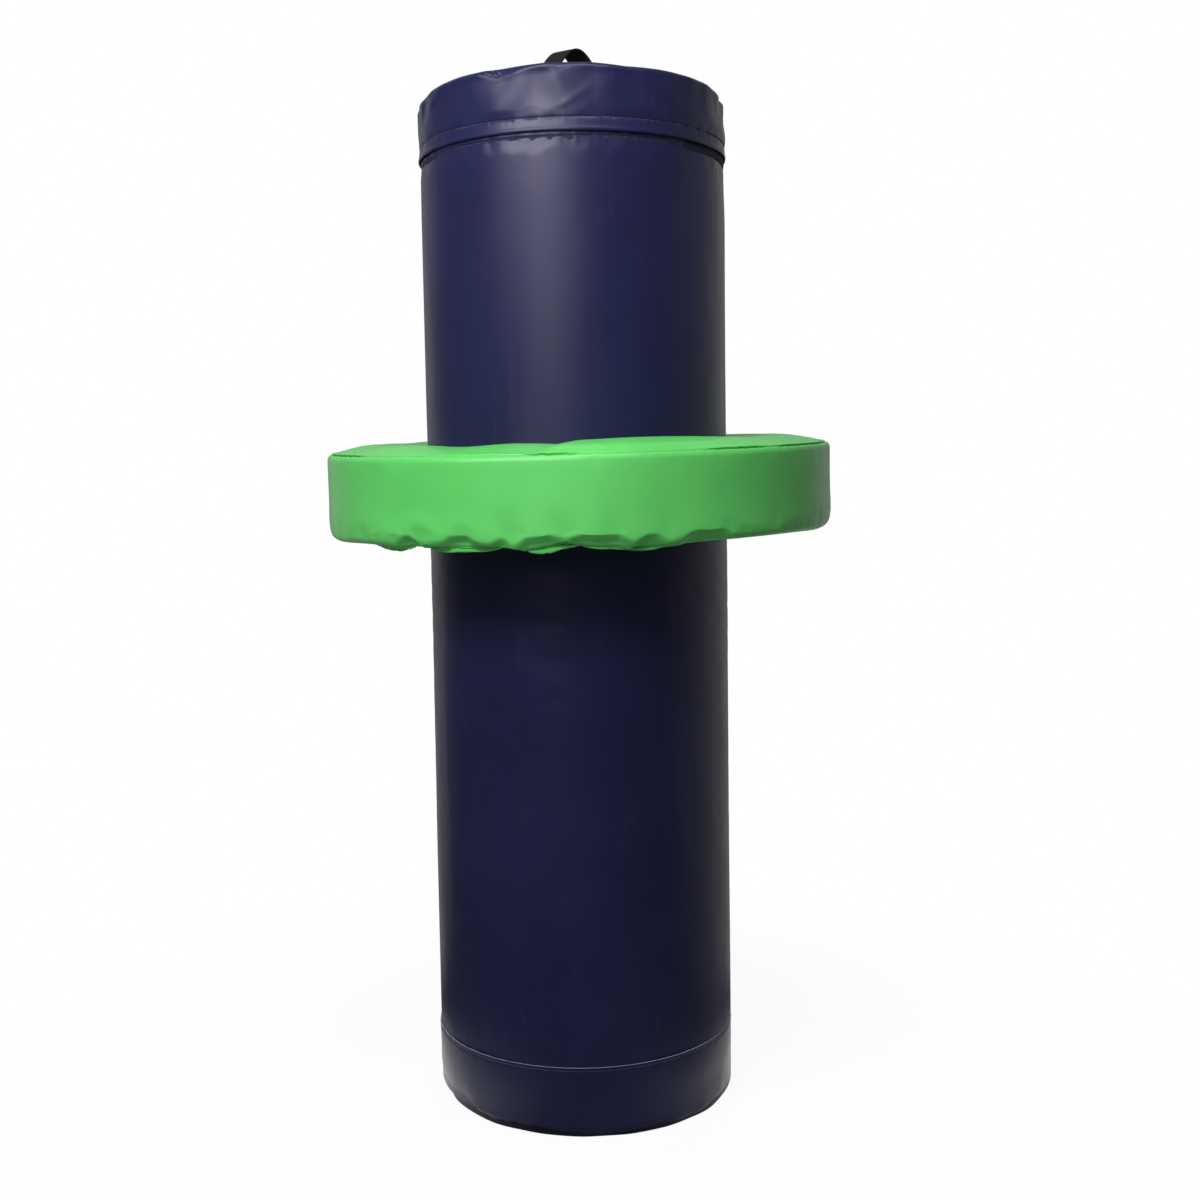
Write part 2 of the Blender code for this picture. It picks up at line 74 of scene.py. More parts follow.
# Sizes that the nodes' boxes don't give
VINYL = 0.0012
SEAM_GAP = 0.0003
FOAM_RADIUS = 0.2035
TONGUE_ANGLE = 0.1416
WINDOW_ANGLE = 0.4879
WINDOW_TOP = ZIP_LINE + 0.0065
FOOT_LEAN = 0.0035
FOOT_CORNER = 0.0035
LID_CORNER = 0.009
HANDLE_WIDTH = 0.050
WEBBING = 0.0025
HANDLE_RISE = 0.0745
HANDLE_HALF_SPAN = 0.075
HANDLE_FOOT = 0.050
HANDLE_TURN = math.radians(34)
HANDLE_TILT = 0.13
HANDLE_SHIFT = -0.004
RING_TOP = 0.915
RING_BOTTOM = 0.802
RING_MIDDLE = (RING_TOP + RING_BOTTOM) / 2
RING_CORNER = 0.010
RING_CROWN = 0.010
RING_ROLL = 0.007
RING_SEAM_ANGLE = math.radians(60)
RING_RISE_RIGHT = 0.012
RING_RISE_BACK = 0.037
RING_INNER = SLEEVE_RADIUS + 0.0006
RING_OFF_CENTRE = 0.003
LINER = 0.0009
BASE_VINYL = 0.002
TAPE_TUCK = 0.0025
STRAP_TOP = 1.3405
STRAP_STEP = (1.3085, 1.3185)
STRAP_GAP = 0.0008

# Sewing
STRAP_MARGIN_ANGLE = 0.022
STRAP_LID_BOX = (1.3225, 1.3365)
STRAP_BAG_BOX_TOP = 1.2925
UPPER_ROW = 1.319
LOWER_ROW = 1.296
FOOT_ROW = 0.092
STITCH_PITCH = 0.0032
FOOT_PITCH = 0.0050
STITCH_LENGTH = 0.0021
THREAD = 0.0007
THREAD_LIFT = 0.0002
# Size of the dark dots that are painted as shade in the needle holes
HOLE = 0.0011

# The photograph's view
PHOTO_LENS = 43.58
PHOTO_SENSOR = 36.0
CAMERA_DISTANCE = 2.061
CAMERA_HEIGHT = 0.8807
CAMERA_PITCH = math.radians(5.106)
CAMERA_YAW = math.radians(0.802)
CAMERA_ROLL = math.radians(-0.859)

# How the vinyl behaves as cloth
CLOTH = {
    "quality": 6,
    "mass": 0.15,
    "air_damping": 4.0,
    "tension_stiffness": 60.0,
    "compression_stiffness": 60.0,
    "shear_stiffness": 20.0,
    "bending_stiffness": 15.0,
    "tension_damping": 15.0,
    "compression_damping": 15.0,
    "vertex_group_mass": "pinned",
    "vertex_group_shrink": "taut",
    "use_pressure": True,
    "uniform_pressure_force": 1.2,
}
CLOTH_FRAMES = 20

# Creases: both ends, each in degrees from the front and a height, then how far out and the half width
COVER_CREASES = (
    ((-28.0, 0.640), (4.0, 0.585), 0.0005, 0.007),
    ((-32.0, 0.560), (-2.0, 0.598), -0.0006, 0.006),
    ((-12.0, 0.668), (14.0, 0.700), 0.0005, 0.006),
    ((24.0, 0.690), (62.0, 0.640), 0.0005, 0.008),
    ((30.0, 0.755), (58.0, 0.725), -0.0004, 0.008),
    ((22.0, 1.060), (44.0, 1.130), -0.0005, 0.010),
)
LID_CREASES = (
    ((-25.5, 1.3675), (-7.5, 1.3785), 0.0012, 0.0035),
    ((-33.0, 1.3800), (-23.8, 1.3731), 0.0017, 0.0018),
    ((-33.0, 1.3765), (-25.0, 1.3702), -0.0012, 0.0020),
    ((-3.5, 1.3330), (6.5, 1.3530), 0.0006, 0.0040),
    ((-62.0, 1.3600), (-52.0, 1.3720), 0.0012, 0.0060),
    ((24.0, 1.3700), (38.0, 1.3500), 0.0009, 0.0070),
)
# The crumpled lower hem of the bottom band, in degrees from the front and heights
FOOT_HEM = (
    (-100.0, 0.0070), (-71.0, 0.0175), (-59.0, 0.0117), (-51.7, 0.0130), (-40.8, 0.0086), (-38.8, 0.0079),
    (-28.4, 0.0115), (-24.3, 0.0102), (-17.6, 0.0110), (-10.2, 0.0080), (4.1, 0.0040), (18.9, 0.0074),
    (29.0, 0.0078), (40.8, 0.0022), (49.3, 0.0032), (60.7, 0.0074), (90.0, 0.0070),
)
# The outline of the lid's rim, in degrees from the front and heights, seen from the photograph's place
RIM_OUTLINE = (
    (-180.0, 1.3800), (-90.0, 1.3745), (-73.6, 1.3740), (-61.7, 1.3800), (-42.5, 1.3819), (-26.1, 1.3810),
    (-8.6, 1.3832), (6.5, 1.3832), (19.2, 1.3805), (32.7, 1.3820), (58.1, 1.3812), (70.4, 1.3760),
    (85.0, 1.3755), (110.0, 1.3780), (180.0, 1.3800),
)
# Where the wall of the lid starts to turn over at its rim, in degrees from the front and heights
RIM_TURNS = (
    (-60.0, 1.3740), (-33.0, 1.3775), (-24.0, 1.3690), (-14.0, 1.3741), (-8.6, 1.3776), (-4.4, 1.3722),
    (-0.4, 1.3743), (7.2, 1.3756), (12.0, 1.3780), (30.0, 1.3735), (60.0, 1.3755),
)
# Where the ring's sewn edges show, in degrees from the front: the open cracks of the upper seam, the
# hollows above the lower one, the puffs below it, and the middles, half widths and rises of its waves
RING_CRACKS = ((-80.0, -54.0), (-9.5, -2.0), (28.0, 41.0), (47.0, 72.0))
RING_HOLLOWS = (
    (-40.0, -35.5), (-28.5, -21.5), (-17.0, -14.6), (-12.3, -4.6), (-1.6, 9.3), (11.5, 16.5), (21.0, 31.0),
)
RING_PUFFS = ((-50.0, -37.0), (-35.5, -15.3), (-12.8, 0.2), (-0.4, 22.0))
RING_SEAM_WAVES = (
    (-70.0, 14.0, -0.0036), (68.0, 14.0, -0.0036), (-43.0, 5.0, -0.0020), (-19.0, 4.5, 0.0014),
    (-11.5, 4.0, -0.0030), (-3.2, 3.0, 0.0062), (15.0, 11.0, -0.0026),
)
# The surround's pale parts: a direction, the cosines where each starts and is full, and its brightness
BACKDROP = (
    ((0.0, 1.0, 0.0), 0.42, 0.80, 0.42),
    ((0.0, 1.0, 0.0), 0.88, 0.985, -0.32),
    ((0.966, 0.26, 0.0), 0.80, 1.0, 0.30),
)
# Lamps: place, target, width, height and watts
LAMP_COLOUR = (1.0, 0.955, 1.0)
LAMPS = {
    "key": ((-0.70, -1.36, 1.94), (0.0, 0.0, 0.95), 1.25, 0.5, 34.0),
    "low_key": ((-0.54, -1.5, 1.34), (0.0, 0.0, 1.1), 0.85, 0.65, 4.5),
    "top": ((0.0, -0.95, 2.5), (0.0, -0.15, 0.9), 1.0, 0.5, 18.0),
    "back_fill": ((0.3, 2.4, 1.7), (0.0, 0.0, 0.7), 1.6, 1.2, 24.0),
}


def show(name, data):
    """A new object in the scene."""
    piece = bpy.data.objects.new(name, data)
    bpy.context.scene.collection.objects.link(piece)
    return piece


def add_camera():
    """The camera where the photograph was taken from."""
    data = bpy.data.cameras.new("photo_view")
    data.lens = PHOTO_LENS
    data.sensor_width = PHOTO_SENSOR
    data.sensor_fit = "HORIZONTAL"
    camera = show("photo_view", data)
    flat = math.cos(CAMERA_PITCH)
    ahead = Vector(
        (math.sin(CAMERA_YAW) * flat, math.cos(CAMERA_YAW) * flat, -math.sin(CAMERA_PITCH))
    )
    level = Vector((math.cos(CAMERA_YAW), -math.sin(CAMERA_YAW), 0.0))
    upright = level.cross(ahead)
    right = level * math.cos(CAMERA_ROLL) + upright * math.sin(CAMERA_ROLL)
    up = upright * math.cos(CAMERA_ROLL) - level * math.sin(CAMERA_ROLL)
    turn = Matrix((right, up, -ahead)).transposed().to_4x4()
    camera.matrix_world = Matrix.Translation((0.0, -CAMERA_DISTANCE, CAMERA_HEIGHT)) @ turn
    bpy.context.scene.camera = camera


def operator(operation, swapped=False):
    """A method that adds the Math node for one of Python's operators."""

    def apply(self, other):
        values = (other, self) if swapped else (self, other)
        return self.graph.node("ShaderNodeMath", *values, operation=operation)

    return apply


class Socket:
    """A node's output that takes part in Python sums. Each sum adds its Math node."""

    __add__, __radd__ = operator("ADD"), operator("ADD", swapped=True)
    __sub__, __rsub__ = operator("SUBTRACT"), operator("SUBTRACT", swapped=True)
    __mul__ = operator("MULTIPLY")

    def __init__(self, graph, socket):
        self.graph = graph
        self.socket = socket


class Graph:
    """A node tree being written. Every node comes from node()."""

    def __init__(self, tree):
        self.tree = tree

    def link(self, value, socket):
        self.tree.links.new(value.socket, socket)

    def node(self, kind, *values, output=0, **named):
        """A node's output. Values are its inputs in order, and None skips one.

        Named values are its settings where they start in lower case, and inputs otherwise.
        """
        made = self.tree.nodes.new(kind)
        inputs = dict(enumerate(values))
        for name, value in named.items():
            if name[0].islower():
                setattr(made, name, value)
            else:
                inputs[name.replace("_", " ")] = value
        for name, value in inputs.items():
            socket = made.inputs[name]
            if isinstance(value, Socket):
                self.link(value, socket)
            elif value is not None:
                socket.default_value = (*value, 1.0) if socket.type == "RGBA" else value
        return Socket(self, made.outputs[output])

    def span(self, value, low, high, start=0.0, end=1.0):
        """Value moved smoothly from low..high to start..end."""
        settings = {"interpolation_type": "SMOOTHSTEP"}
        return self.node("ShaderNodeMapRange", value, low, high, start, end, **settings)

    def split(self, value):
        """The X and Y of a place."""
        return [self.node("ShaderNodeSeparateXYZ", value, output=axis) for axis in "XY"]

    def ray(self, kind):
        """1 for rays of a kind, such as Camera, and 0 for others."""
        return self.node("ShaderNodeLightPath", output=f"Is {kind} Ray")


class Finish(Graph):
    """A material: its shader, and the nodes that feed it."""

    def __init__(self, name, slot, **constants):
        self.material = bpy.data.materials.new(name)
        self.material.use_nodes = True
        super().__init__(self.material.node_tree)
        self.slot = slot
        self.shader = self.tree.nodes["Principled BSDF"]
        for socket, value in constants.items():
            self.shader.inputs[socket.replace("_", " ")].default_value = value
        self.place = self.node("ShaderNodeTexCoord", output="Object")
        self.uv = self.node("ShaderNodeUVMap", uv_map="UVMap")

    def noise(self, scale, detail=2.0, roughness=0.5, stretch=None, kind="FBM"):
        """Noise over the piece, from 0 to 1. Stretch scales the place first."""
        place = self.place
        if stretch:
            place = self.node("ShaderNodeMapping", Vector=place, Scale=stretch)
        sizes = {"Scale": scale, "Detail": detail, "Roughness": roughness}
        return self.node("ShaderNodeTexNoise", Vector=place, noise_type=kind, **sizes)

    def blend(self, factor, first, second):
        """A colour between two colours."""
        unused = [None] * 5
        return self.node("ShaderNodeMix", factor, *unused, first, second, data_type="RGBA", output=2)

    def wave(self, coordinate, pitch):
        """A sine from -1 to 1 along a coordinate in metres."""
        return self.node("ShaderNodeMath", coordinate * (TURN / pitch), operation="SINE")

    def paint(self, colour, roughness, height):
        """Feeds the shader a colour, a roughness and the bump of a height in metres."""
        bump = self.node("ShaderNodeBump", Height=height, Strength=1.0, Distance=1.0)
        for socket, value in (("Base Color", colour), ("Roughness", roughness), ("Normal", bump)):
            self.link(value, self.shader.inputs[socket])
        return self


def vinyl(name, slot, deep, bright, gloss, wrinkle):
    """PVC-coated fabric: a satin skin with a fine grain, soft wrinkles and faint scuffs."""
    scrim_pitch, scrim_height, grain_height = 0.0014, 0.0000035, 0.000012
    finish = Finish(name, slot, Specular_IOR_Level=0.25)
    tone = finish.span(finish.noise(5.0, 3.0), 0.3, 0.7)
    scuff = finish.span(finish.noise(90.0, 4.0, 0.6, stretch=(1.0, 1.0, 0.22)), 0.56, 0.74)
    worn = [0.82 * part + 0.03 for part in bright]
    colour = finish.blend(scuff * 0.10, finish.blend(tone, deep, bright), worn)
    smear = finish.noise(18.0, 3.0, 0.6, stretch=(1.0, 1.0, 0.4))
    across, along = finish.split(finish.uv)
    scrim = finish.wave(across, scrim_pitch) * finish.wave(along, scrim_pitch)
    grain = finish.noise(1100.0, 1.0)
    soft = finish.noise(26.0, 2.0, 0.45, stretch=(1.0, 1.0, 0.55))
    crease = finish.noise(9.0, 2.0, 0.5, kind="RIDGED_MULTIFRACTAL", stretch=(1.0, 1.0, 1.6))
    height = scrim * scrim_height + grain * grain_height + soft * wrinkle + crease * (wrinkle * 0.35)
    return finish.paint(colour, gloss + (smear - 0.5) * 0.16 + scuff * 0.05, height)


def cut_edge():
    """The cut edge of the vinyl, where its paler cloth shows, made paler still as a painted highlight along
    the hems.
    """
    finish = Finish("cut_edge", "navy_vinyl", Specular_IOR_Level=0.3)
    fray = finish.noise(700.0, 2.0)
    # Pale cloth of the cut edge, brightened further as a painted highlight on an edge that faces the light
    colour = finish.blend(fray, (0.20, 0.23, 0.30), (0.42, 0.45, 0.52))
    return finish.paint(colour, 0.6 + fray * 0.2, fray * 0.00006)


def woven(name, slot, deep, bright, across, along, depth):
    """Webbing or tape: warp and weft that pass over each other, with loose fibres."""
    finish = Finish(name, slot, Specular_IOR_Level=0.2)
    width, length = finish.split(finish.uv)
    over = finish.wave(width, across) * finish.wave(length, along)
    fibre = finish.noise(2600.0, 2.0, 0.6)
    lift = finish.span(over, -1.0, 1.0)
    colour = finish.blend(lift * 0.7 + fibre * 0.3, deep, bright)
    return finish.paint(colour, 0.62 + fibre * 0.25, over * depth + fibre * 0.00003)


def foam(name, slot, deep, bright, cell):
    """Cut foam: open cells and saw marks."""
    finish = Finish(name, slot, Specular_IOR_Level=0.2)
    cells = finish.node("ShaderNodeTexVoronoi", feature="F1", Vector=finish.place, Scale=1.0 / cell)
    patch = finish.noise(14.0, 3.0)
    saw = finish.noise(120.0, 2.0, stretch=(0.2, 1.0, 1.0))
    tone = finish.span(patch, 0.3, 0.7) * 0.6 + saw * 0.4
    height = cells * (cell * 0.45) + saw * 0.0003
    return finish.paint(finish.blend(tone, deep, bright), 0.86 + saw * 0.1, height)


def chip_foam():
    """Bonded foam: chips of several foams pressed into a block."""
    finish = Finish("bonded_foam", "column_foam", Specular_IOR_Level=0.2)
    chips = finish.node("ShaderNodeTexVoronoi", Vector=finish.place, Scale=85.0, output="Color")
    pick = finish.node("ShaderNodeSeparateColor", chips)
    mixed = finish.node("ShaderNodeValToRGB", pick)
    colours = (
        (0.0, (0.19, 0.21, 0.25)),
        (0.3, (0.34, 0.36, 0.38)),
        (0.5, (0.52, 0.50, 0.42)),
        (0.7, (0.20, 0.30, 0.40)),
        (1.0, (0.42, 0.43, 0.44)),
    )
    stops = mixed.socket.node.color_ramp.elements
    while len(stops) < len(colours):
        stops.new(1.0)
    for stop, (position, colour) in zip(stops, colours):
        stop.position = position
        stop.color = (*colour, 1.0)
    pores = finish.noise(600.0, 2.0)
    colour = finish.blend(pores * 0.5, mixed, (0.12, 0.13, 0.14))
    return finish.paint(colour, 0.88 + pores * 0.1, pores * 0.0006 + pick * 0.0004)


def plated():
    """Nickel plate on a die-cast slider, rubbed and slightly dull."""
    finish = Finish("nickel_plate", "zip_metal", Metallic=1.0)
    rub = finish.noise(400.0, 3.0, 0.6)
    colour = finish.blend(rub, (0.40, 0.40, 0.41), (0.62, 0.62, 0.63))
    return finish.paint(colour, 0.22 + rub * 0.25, rub * 0.00002)


def nylon(name, slot, colour):
    """Drawn nylon or bonded thread, with a soft gloss."""
    finish = Finish(name, slot, Specular_IOR_Level=0.5)
    twist = finish.noise(1500.0, 2.0)
    lit = [1.5 * part + 0.01 for part in colour]
    return finish.paint(finish.blend(twist, colour, lit), 0.34 + twist * 0.2, twist * 0.00004)


def evaluated(piece):
    """The piece's mesh with its modifiers in it."""
    bpy.context.view_layer.update()
    graph = bpy.context.evaluated_depsgraph_get()
    return bpy.data.meshes.new_from_object(piece.evaluated_get(graph))


def settle(piece, crease=math.radians(40)):
    """Turns the piece into a plain mesh, smooth but for its sharp edges."""
    mesh = evaluated(piece)
    piece.modifiers.clear()
    piece.data = mesh
    mesh.polygons.foreach_set("use_smooth", [True] * len(mesh.polygons))
    mesh.set_sharp_from_angle(angle=crease)
    return piece


@contextmanager
def edited(mesh):
    """The mesh opened in bmesh, and written back at the end."""
    shell = bmesh.new()
    shell.from_mesh(mesh)
    yield shell
    shell.to_mesh(mesh)
    shell.free()


def place(radius, height, angles):
    """Points from radii and heights, in rows that run round the bag."""
    radius, height, angles = np.broadcast_arrays(radius, height, angles)
    return np.stack([radius * np.sin(angles), -radius * np.cos(angles), height], axis=-1)


def grid(rows, columns, looped=False, wrapped=True):
    """The row and column where each face of a skin starts, and the numbers of its corners."""
    i, j = np.meshgrid(
        np.arange(rows if looped else rows - 1),
        np.arange(columns if wrapped else columns - 1),
        indexing="ij",
    )
    below, beside = (i + 1) % rows, (j + 1) % columns
    corners = [(i, j), (below, j), (below, beside), (i, beside)]
    faces = np.stack([row * columns + column for row, column in corners], axis=-1)
    return i, j, faces.reshape(-1, 4)


def skin(name, points, finish, keep=None, looped=False, wrapped=True):
    """A mesh from rows of points, which run round the bag and follow each other down its outside.

    A looped skin joins its last row to its first, and a wrapped one its last column to its first.
    """
    i, j, faces = grid(*points.shape[:2], looped, wrapped)
    across = np.linalg.norm(np.diff(points, axis=1, append=points[:, :1]), axis=-1).mean(axis=0)
    down = np.linalg.norm(np.diff(points, axis=0, append=points[:1]), axis=-1).mean(axis=1)
    u = np.concatenate([[0.0], np.cumsum(across)])
    v = -np.concatenate([[0.0], np.cumsum(down)])
    steps = [(i, j), (i + 1, j), (i + 1, j + 1), (i, j + 1)]
    uvs = np.stack([np.stack([u[column], v[row]], axis=-1) for row, column in steps], axis=-2)
    uvs = uvs.reshape(-1, 4, 2)
    if keep is not None:
        faces, uvs = faces[keep.ravel()], uvs[keep.ravel()]
    mesh = bpy.data.meshes.new(name)
    mesh.from_pydata(points.reshape(-1, 3).tolist(), [], faces.tolist())
    mesh.uv_layers.new(name="UVMap").data.foreach_set("uv", uvs.astype(np.float32).ravel())
    mesh.materials.append(finish.material)
    with edited(mesh) as shell:
        bmesh.ops.remove_doubles(shell, verts=shell.verts, dist=0.000001)
        unused = [vert for vert in shell.verts if not vert.link_faces]
        bmesh.ops.delete(shell, geom=unused, context="VERTS")
    mesh.polygons.foreach_set("use_smooth", [True] * len(mesh.polygons))
    return show(name, mesh)


def thicken(piece, thickness, edge=None):
    """Gives a sheet its wall, inwards from its outer face."""
    wall = piece.modifiers.new("wall", "SOLIDIFY")
    wall.thickness = thickness
    wall.offset = -1.0
    if edge:
        piece.data.materials.append(edge.material)
        wall.material_offset_rim = 1
    settle(piece)


def carry(piece, body, finish, *nodes):
    """Puts a finished piece on its body, in the place of the CAD nodes that it stands for."""
    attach(piece, body)
    if nodes:
        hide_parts(*nodes)


def copied(node, name, finish, limit=lambda height: math.inf):
    """A CAD node's mesh in its finish, its triangles joined, and no point beyond its height's limit."""
    piece = show(name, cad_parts[node].data.copy())
    mesh = piece.data
    with edited(mesh) as shell:
        bmesh.ops.remove_doubles(shell, verts=shell.verts, dist=0.000005)
        flat = math.radians(1)
        bmesh.ops.dissolve_limit(shell, angle_limit=flat, verts=shell.verts, edges=shell.edges)
    for vertex in mesh.vertices:
        share = min(1.0, limit(vertex.co.z) / max(math.hypot(vertex.co.x, vertex.co.y), 1e-9))
        vertex.co.x *= share
        vertex.co.y *= share
    mesh.materials.clear()
    mesh.materials.append(finish.material)
    return piece


def swell(angles, heights, seed, turns, lengths=(0.0, 0.1), waves=20):
    """Soft random relief, mostly from -1 to 1, which closes on itself round the bag.

    Turns is the range of waves round the bag, and lengths the range of waves in a metre of height.
    """
    draw = np.random.default_rng(seed)
    total = np.zeros(np.broadcast(angles, heights).shape)
    for _ in range(waves):
        turn = draw.integers(turns[0], turns[1] + 1)
        rise = draw.uniform(*lengths) * draw.choice((-1, 1))
        total += np.cos(turn * angles + TURN * rise * heights + draw.uniform(0.0, TURN))
    return total / math.sqrt(2 * waves)


def ruffle(angles, seed, *turns):
    """Soft random relief that is the same at all heights."""
    return swell(angles, 0.0, seed, turns)


def near(value, centre, width):
    """1 at the centre, and close to 0 past the width."""
    return np.exp(-(((value - centre) / width) ** 2))


def ramp(value, start, end):
    """From 0 at start to 1 at end, smoothly."""
    share = np.clip((value - start) / (end - start), 0.0, 1.0)
    return share * share * (3.0 - 2.0 * share)


def fall(value, start, end):
    """From 1 at start to 0 at end, smoothly."""
    return 1.0 - ramp(value, start, end)


def between(degrees, ranges, soft=2.5):
    """1 inside any of the ranges of degrees, 0 outside, with soft ends."""
    inside = np.zeros_like(degrees)
    for low, high in ranges:
        part = ramp(degrees, low - soft, low + soft) * fall(degrees, high - soft, high + soft)
        inside = np.maximum(inside, part)
    return inside


def lens(degrees, ranges):
    """A rounded swelling over each of the ranges of degrees."""
    swollen = np.zeros_like(degrees)
    for low, high in ranges:
        across = (2.0 * degrees - low - high) / (high - low)
        swollen = np.maximum(swollen, np.clip(1.0 - across**2, 0.0, None))
    return swollen


def creased(angles, heights, creases):
    """How far a table of creases lifts the vinyl."""
    x, y = np.broadcast_arrays(angles * BAG_RADIUS, heights)
    total = np.zeros(x.shape)
    for (start, ay), (end, by), lift, width in creases:
        ax, bx = math.radians(start) * BAG_RADIUS, math.radians(end) * BAG_RADIUS
        length = math.hypot(bx - ax, by - ay)
        along = ((x - ax) * (bx - ax) + (y - ay) * (by - ay)) / length**2
        aside = ((x - ax) * (by - ay) - (y - ay) * (bx - ax)) / length
        total += lift * near(aside, 0.0, width) * ramp(along, -0.25, 0.2) * fall(along, 0.8, 1.25)
    return total


def turned_angles(columns):
    """Angles of the columns, centred on the front so that the seam of the mesh is at the back."""
    return (np.arange(columns) / columns - 0.5) * TURN


def spaced(stops):
    """Numbers through all the stops. Each stop but the first says how many steps lead to it."""
    values = [stops[0]]
    for target, steps in stops[1:]:
        values.extend(np.linspace(values[-1], target, steps + 1)[1:])
    return np.array(values)


def arc(radius, height, corner, start, end, count, side=1):
    """Radii and heights round a corner whose outermost radius and height are given."""
    return [
        (radius - side * corner * (1 - math.cos(lean)), height - corner * (1 - math.sin(lean)))
        for lean in np.linspace(start, end, count)
    ]


def distances(profile, row):
    """How far each point of a profile is past one of its rows, along the profile."""
    steps = np.linalg.norm(np.diff(profile, axis=0), axis=1)
    run = np.concatenate([[0.0], np.cumsum(steps)])
    return (run - run[row])[:, None]


stitch_paths = {}


def sew(body, points, closed=True, pitch=STITCH_PITCH):
    """Notes a row of stitches along points, to be made later with the others on its body."""
    stitch_paths.setdefault((body, pitch), []).append((np.asarray(points), closed))


def sew_box(body, corners, steps, put):
    """Notes a box of stitches with both diagonals. Put makes points of its flat places."""
    sides = [
        np.linspace(start, end, count, endpoint=False)
        for start, end, count in zip(corners, corners[1:] + corners[:1], steps * 2)
    ]
    sew(body, put(np.concatenate(sides)))
    for start, end in ((0, 2), (1, 3)):
        sew(body, put(np.linspace(corners[start], corners[end], steps[1] + 1)), closed=False)


def raised(points, lift=THREAD_LIFT):
    """Points moved outwards from the bag's axis."""
    moved = points.copy()
    reach = np.maximum(np.linalg.norm(points[..., :2], axis=-1, keepdims=True), 1e-9)
    moved[..., :2] *= (reach + lift) / reach
    return moved


def path_mesh(name, paths):
    """A mesh of edges along paths, each given as points and whether it closes."""
    points, edges = [], []
    for path, closed in paths:
        first, count = len(points), len(path)
        points.extend(path.tolist())
        edges.extend((first + k, first + k + 1) for k in range(count - 1))
        if closed:
            edges.append((first + count - 1, first))
    mesh = bpy.data.meshes.new(name)
    mesh.from_pydata(points, edges, [])
    return mesh


def geometry_tree(name, *sizes):
    """A Geometry Nodes tree with a geometry and a material going in, and the named sizes."""
    tree = bpy.data.node_groups.new(name, "GeometryNodeTree")
    kinds = {"Geometry": "Geometry", **dict.fromkeys(sizes, "Float"), "Finish": "Material"}
    for socket, kind in kinds.items():
        tree.interface.new_socket(socket, in_out="INPUT", socket_type="NodeSocket" + kind)
    tree.interface.new_socket("Geometry", in_out="OUTPUT", socket_type="NodeSocketGeometry")
    graph = Graph(tree)
    entry = tree.nodes.new("NodeGroupInput")
    return graph, {socket.name: Socket(graph, socket) for socket in entry.outputs if socket.name}


def end_tree(graph, shape, finish):
    """Ends a tree with real geometry in its finish."""
    smooth = graph.node("GeometryNodeSetShadeSmooth", Geometry=shape)
    real = graph.node("GeometryNodeRealizeInstances", Geometry=smooth)
    dressed = graph.node("GeometryNodeSetMaterial", Geometry=real, Material=finish)
    graph.link(dressed, graph.tree.nodes.new("NodeGroupOutput").inputs["Geometry"])
    return graph.tree


def stitches_tree():
    """Short rounded stitches at an even pitch along each path, moved along it by the shift."""
    graph, given = geometry_tree("stitches", "Pitch", "Length", "Thread", "Shift")
    curve = graph.node("GeometryNodeMeshToCurve", Mesh=given["Geometry"])
    even = graph.node("GeometryNodeResampleCurve", mode="LENGTH", Curve=curve, Length=given["Pitch"])
    tangent = graph.node("GeometryNodeInputTangent")
    ahead = graph.node("ShaderNodeVectorMath", tangent, operation="SCALE", Scale=given["Shift"])
    moved = graph.node("GeometryNodeSetPosition", Geometry=even, Offset=ahead)
    aim = graph.node("FunctionNodeAlignRotationToVector", axis="Z", Vector=tangent)
    ball = graph.node("GeometryNodeMeshUVSphere", Segments=8, Rings=5, Radius=0.5)
    shape = graph.node("ShaderNodeCombineXYZ", given["Thread"], given["Thread"], given["Length"])
    stitches = graph.node(
        "GeometryNodeInstanceOnPoints", Points=moved, Instance=ball, Rotation=aim, Scale=shape
    )
    return end_tree(graph, stitches, given["Finish"])


def strand_tree():
    """A round strand along each path."""
    graph, given = geometry_tree("strand", "Radius")
    curve = graph.node("GeometryNodeMeshToCurve", Mesh=given["Geometry"])
    sizes = {"Resolution": 6, "Radius": given["Radius"]}
    circle = graph.node("GeometryNodeCurvePrimitiveCircle", mode="RADIUS", **sizes)
    strand = graph.node("GeometryNodeCurveToMesh", Curve=curve, Profile_Curve=circle, Fill_Caps=True)
    return end_tree(graph, strand, given["Finish"])


def grown(name, paths, tree, finish, **sizes):
    """A piece that a Geometry Nodes tree grows along paths."""
    piece = show(name, path_mesh(name, paths))
    grow = piece.modifiers.new("grow", "NODES")
    grow.node_group = tree
    values = {**sizes, "Finish": finish.material}
    for item in tree.interface.items_tree:
        if item.in_out == "INPUT" and item.name in values:
            grow[item.identifier] = values[item.name]
    return settle(piece)


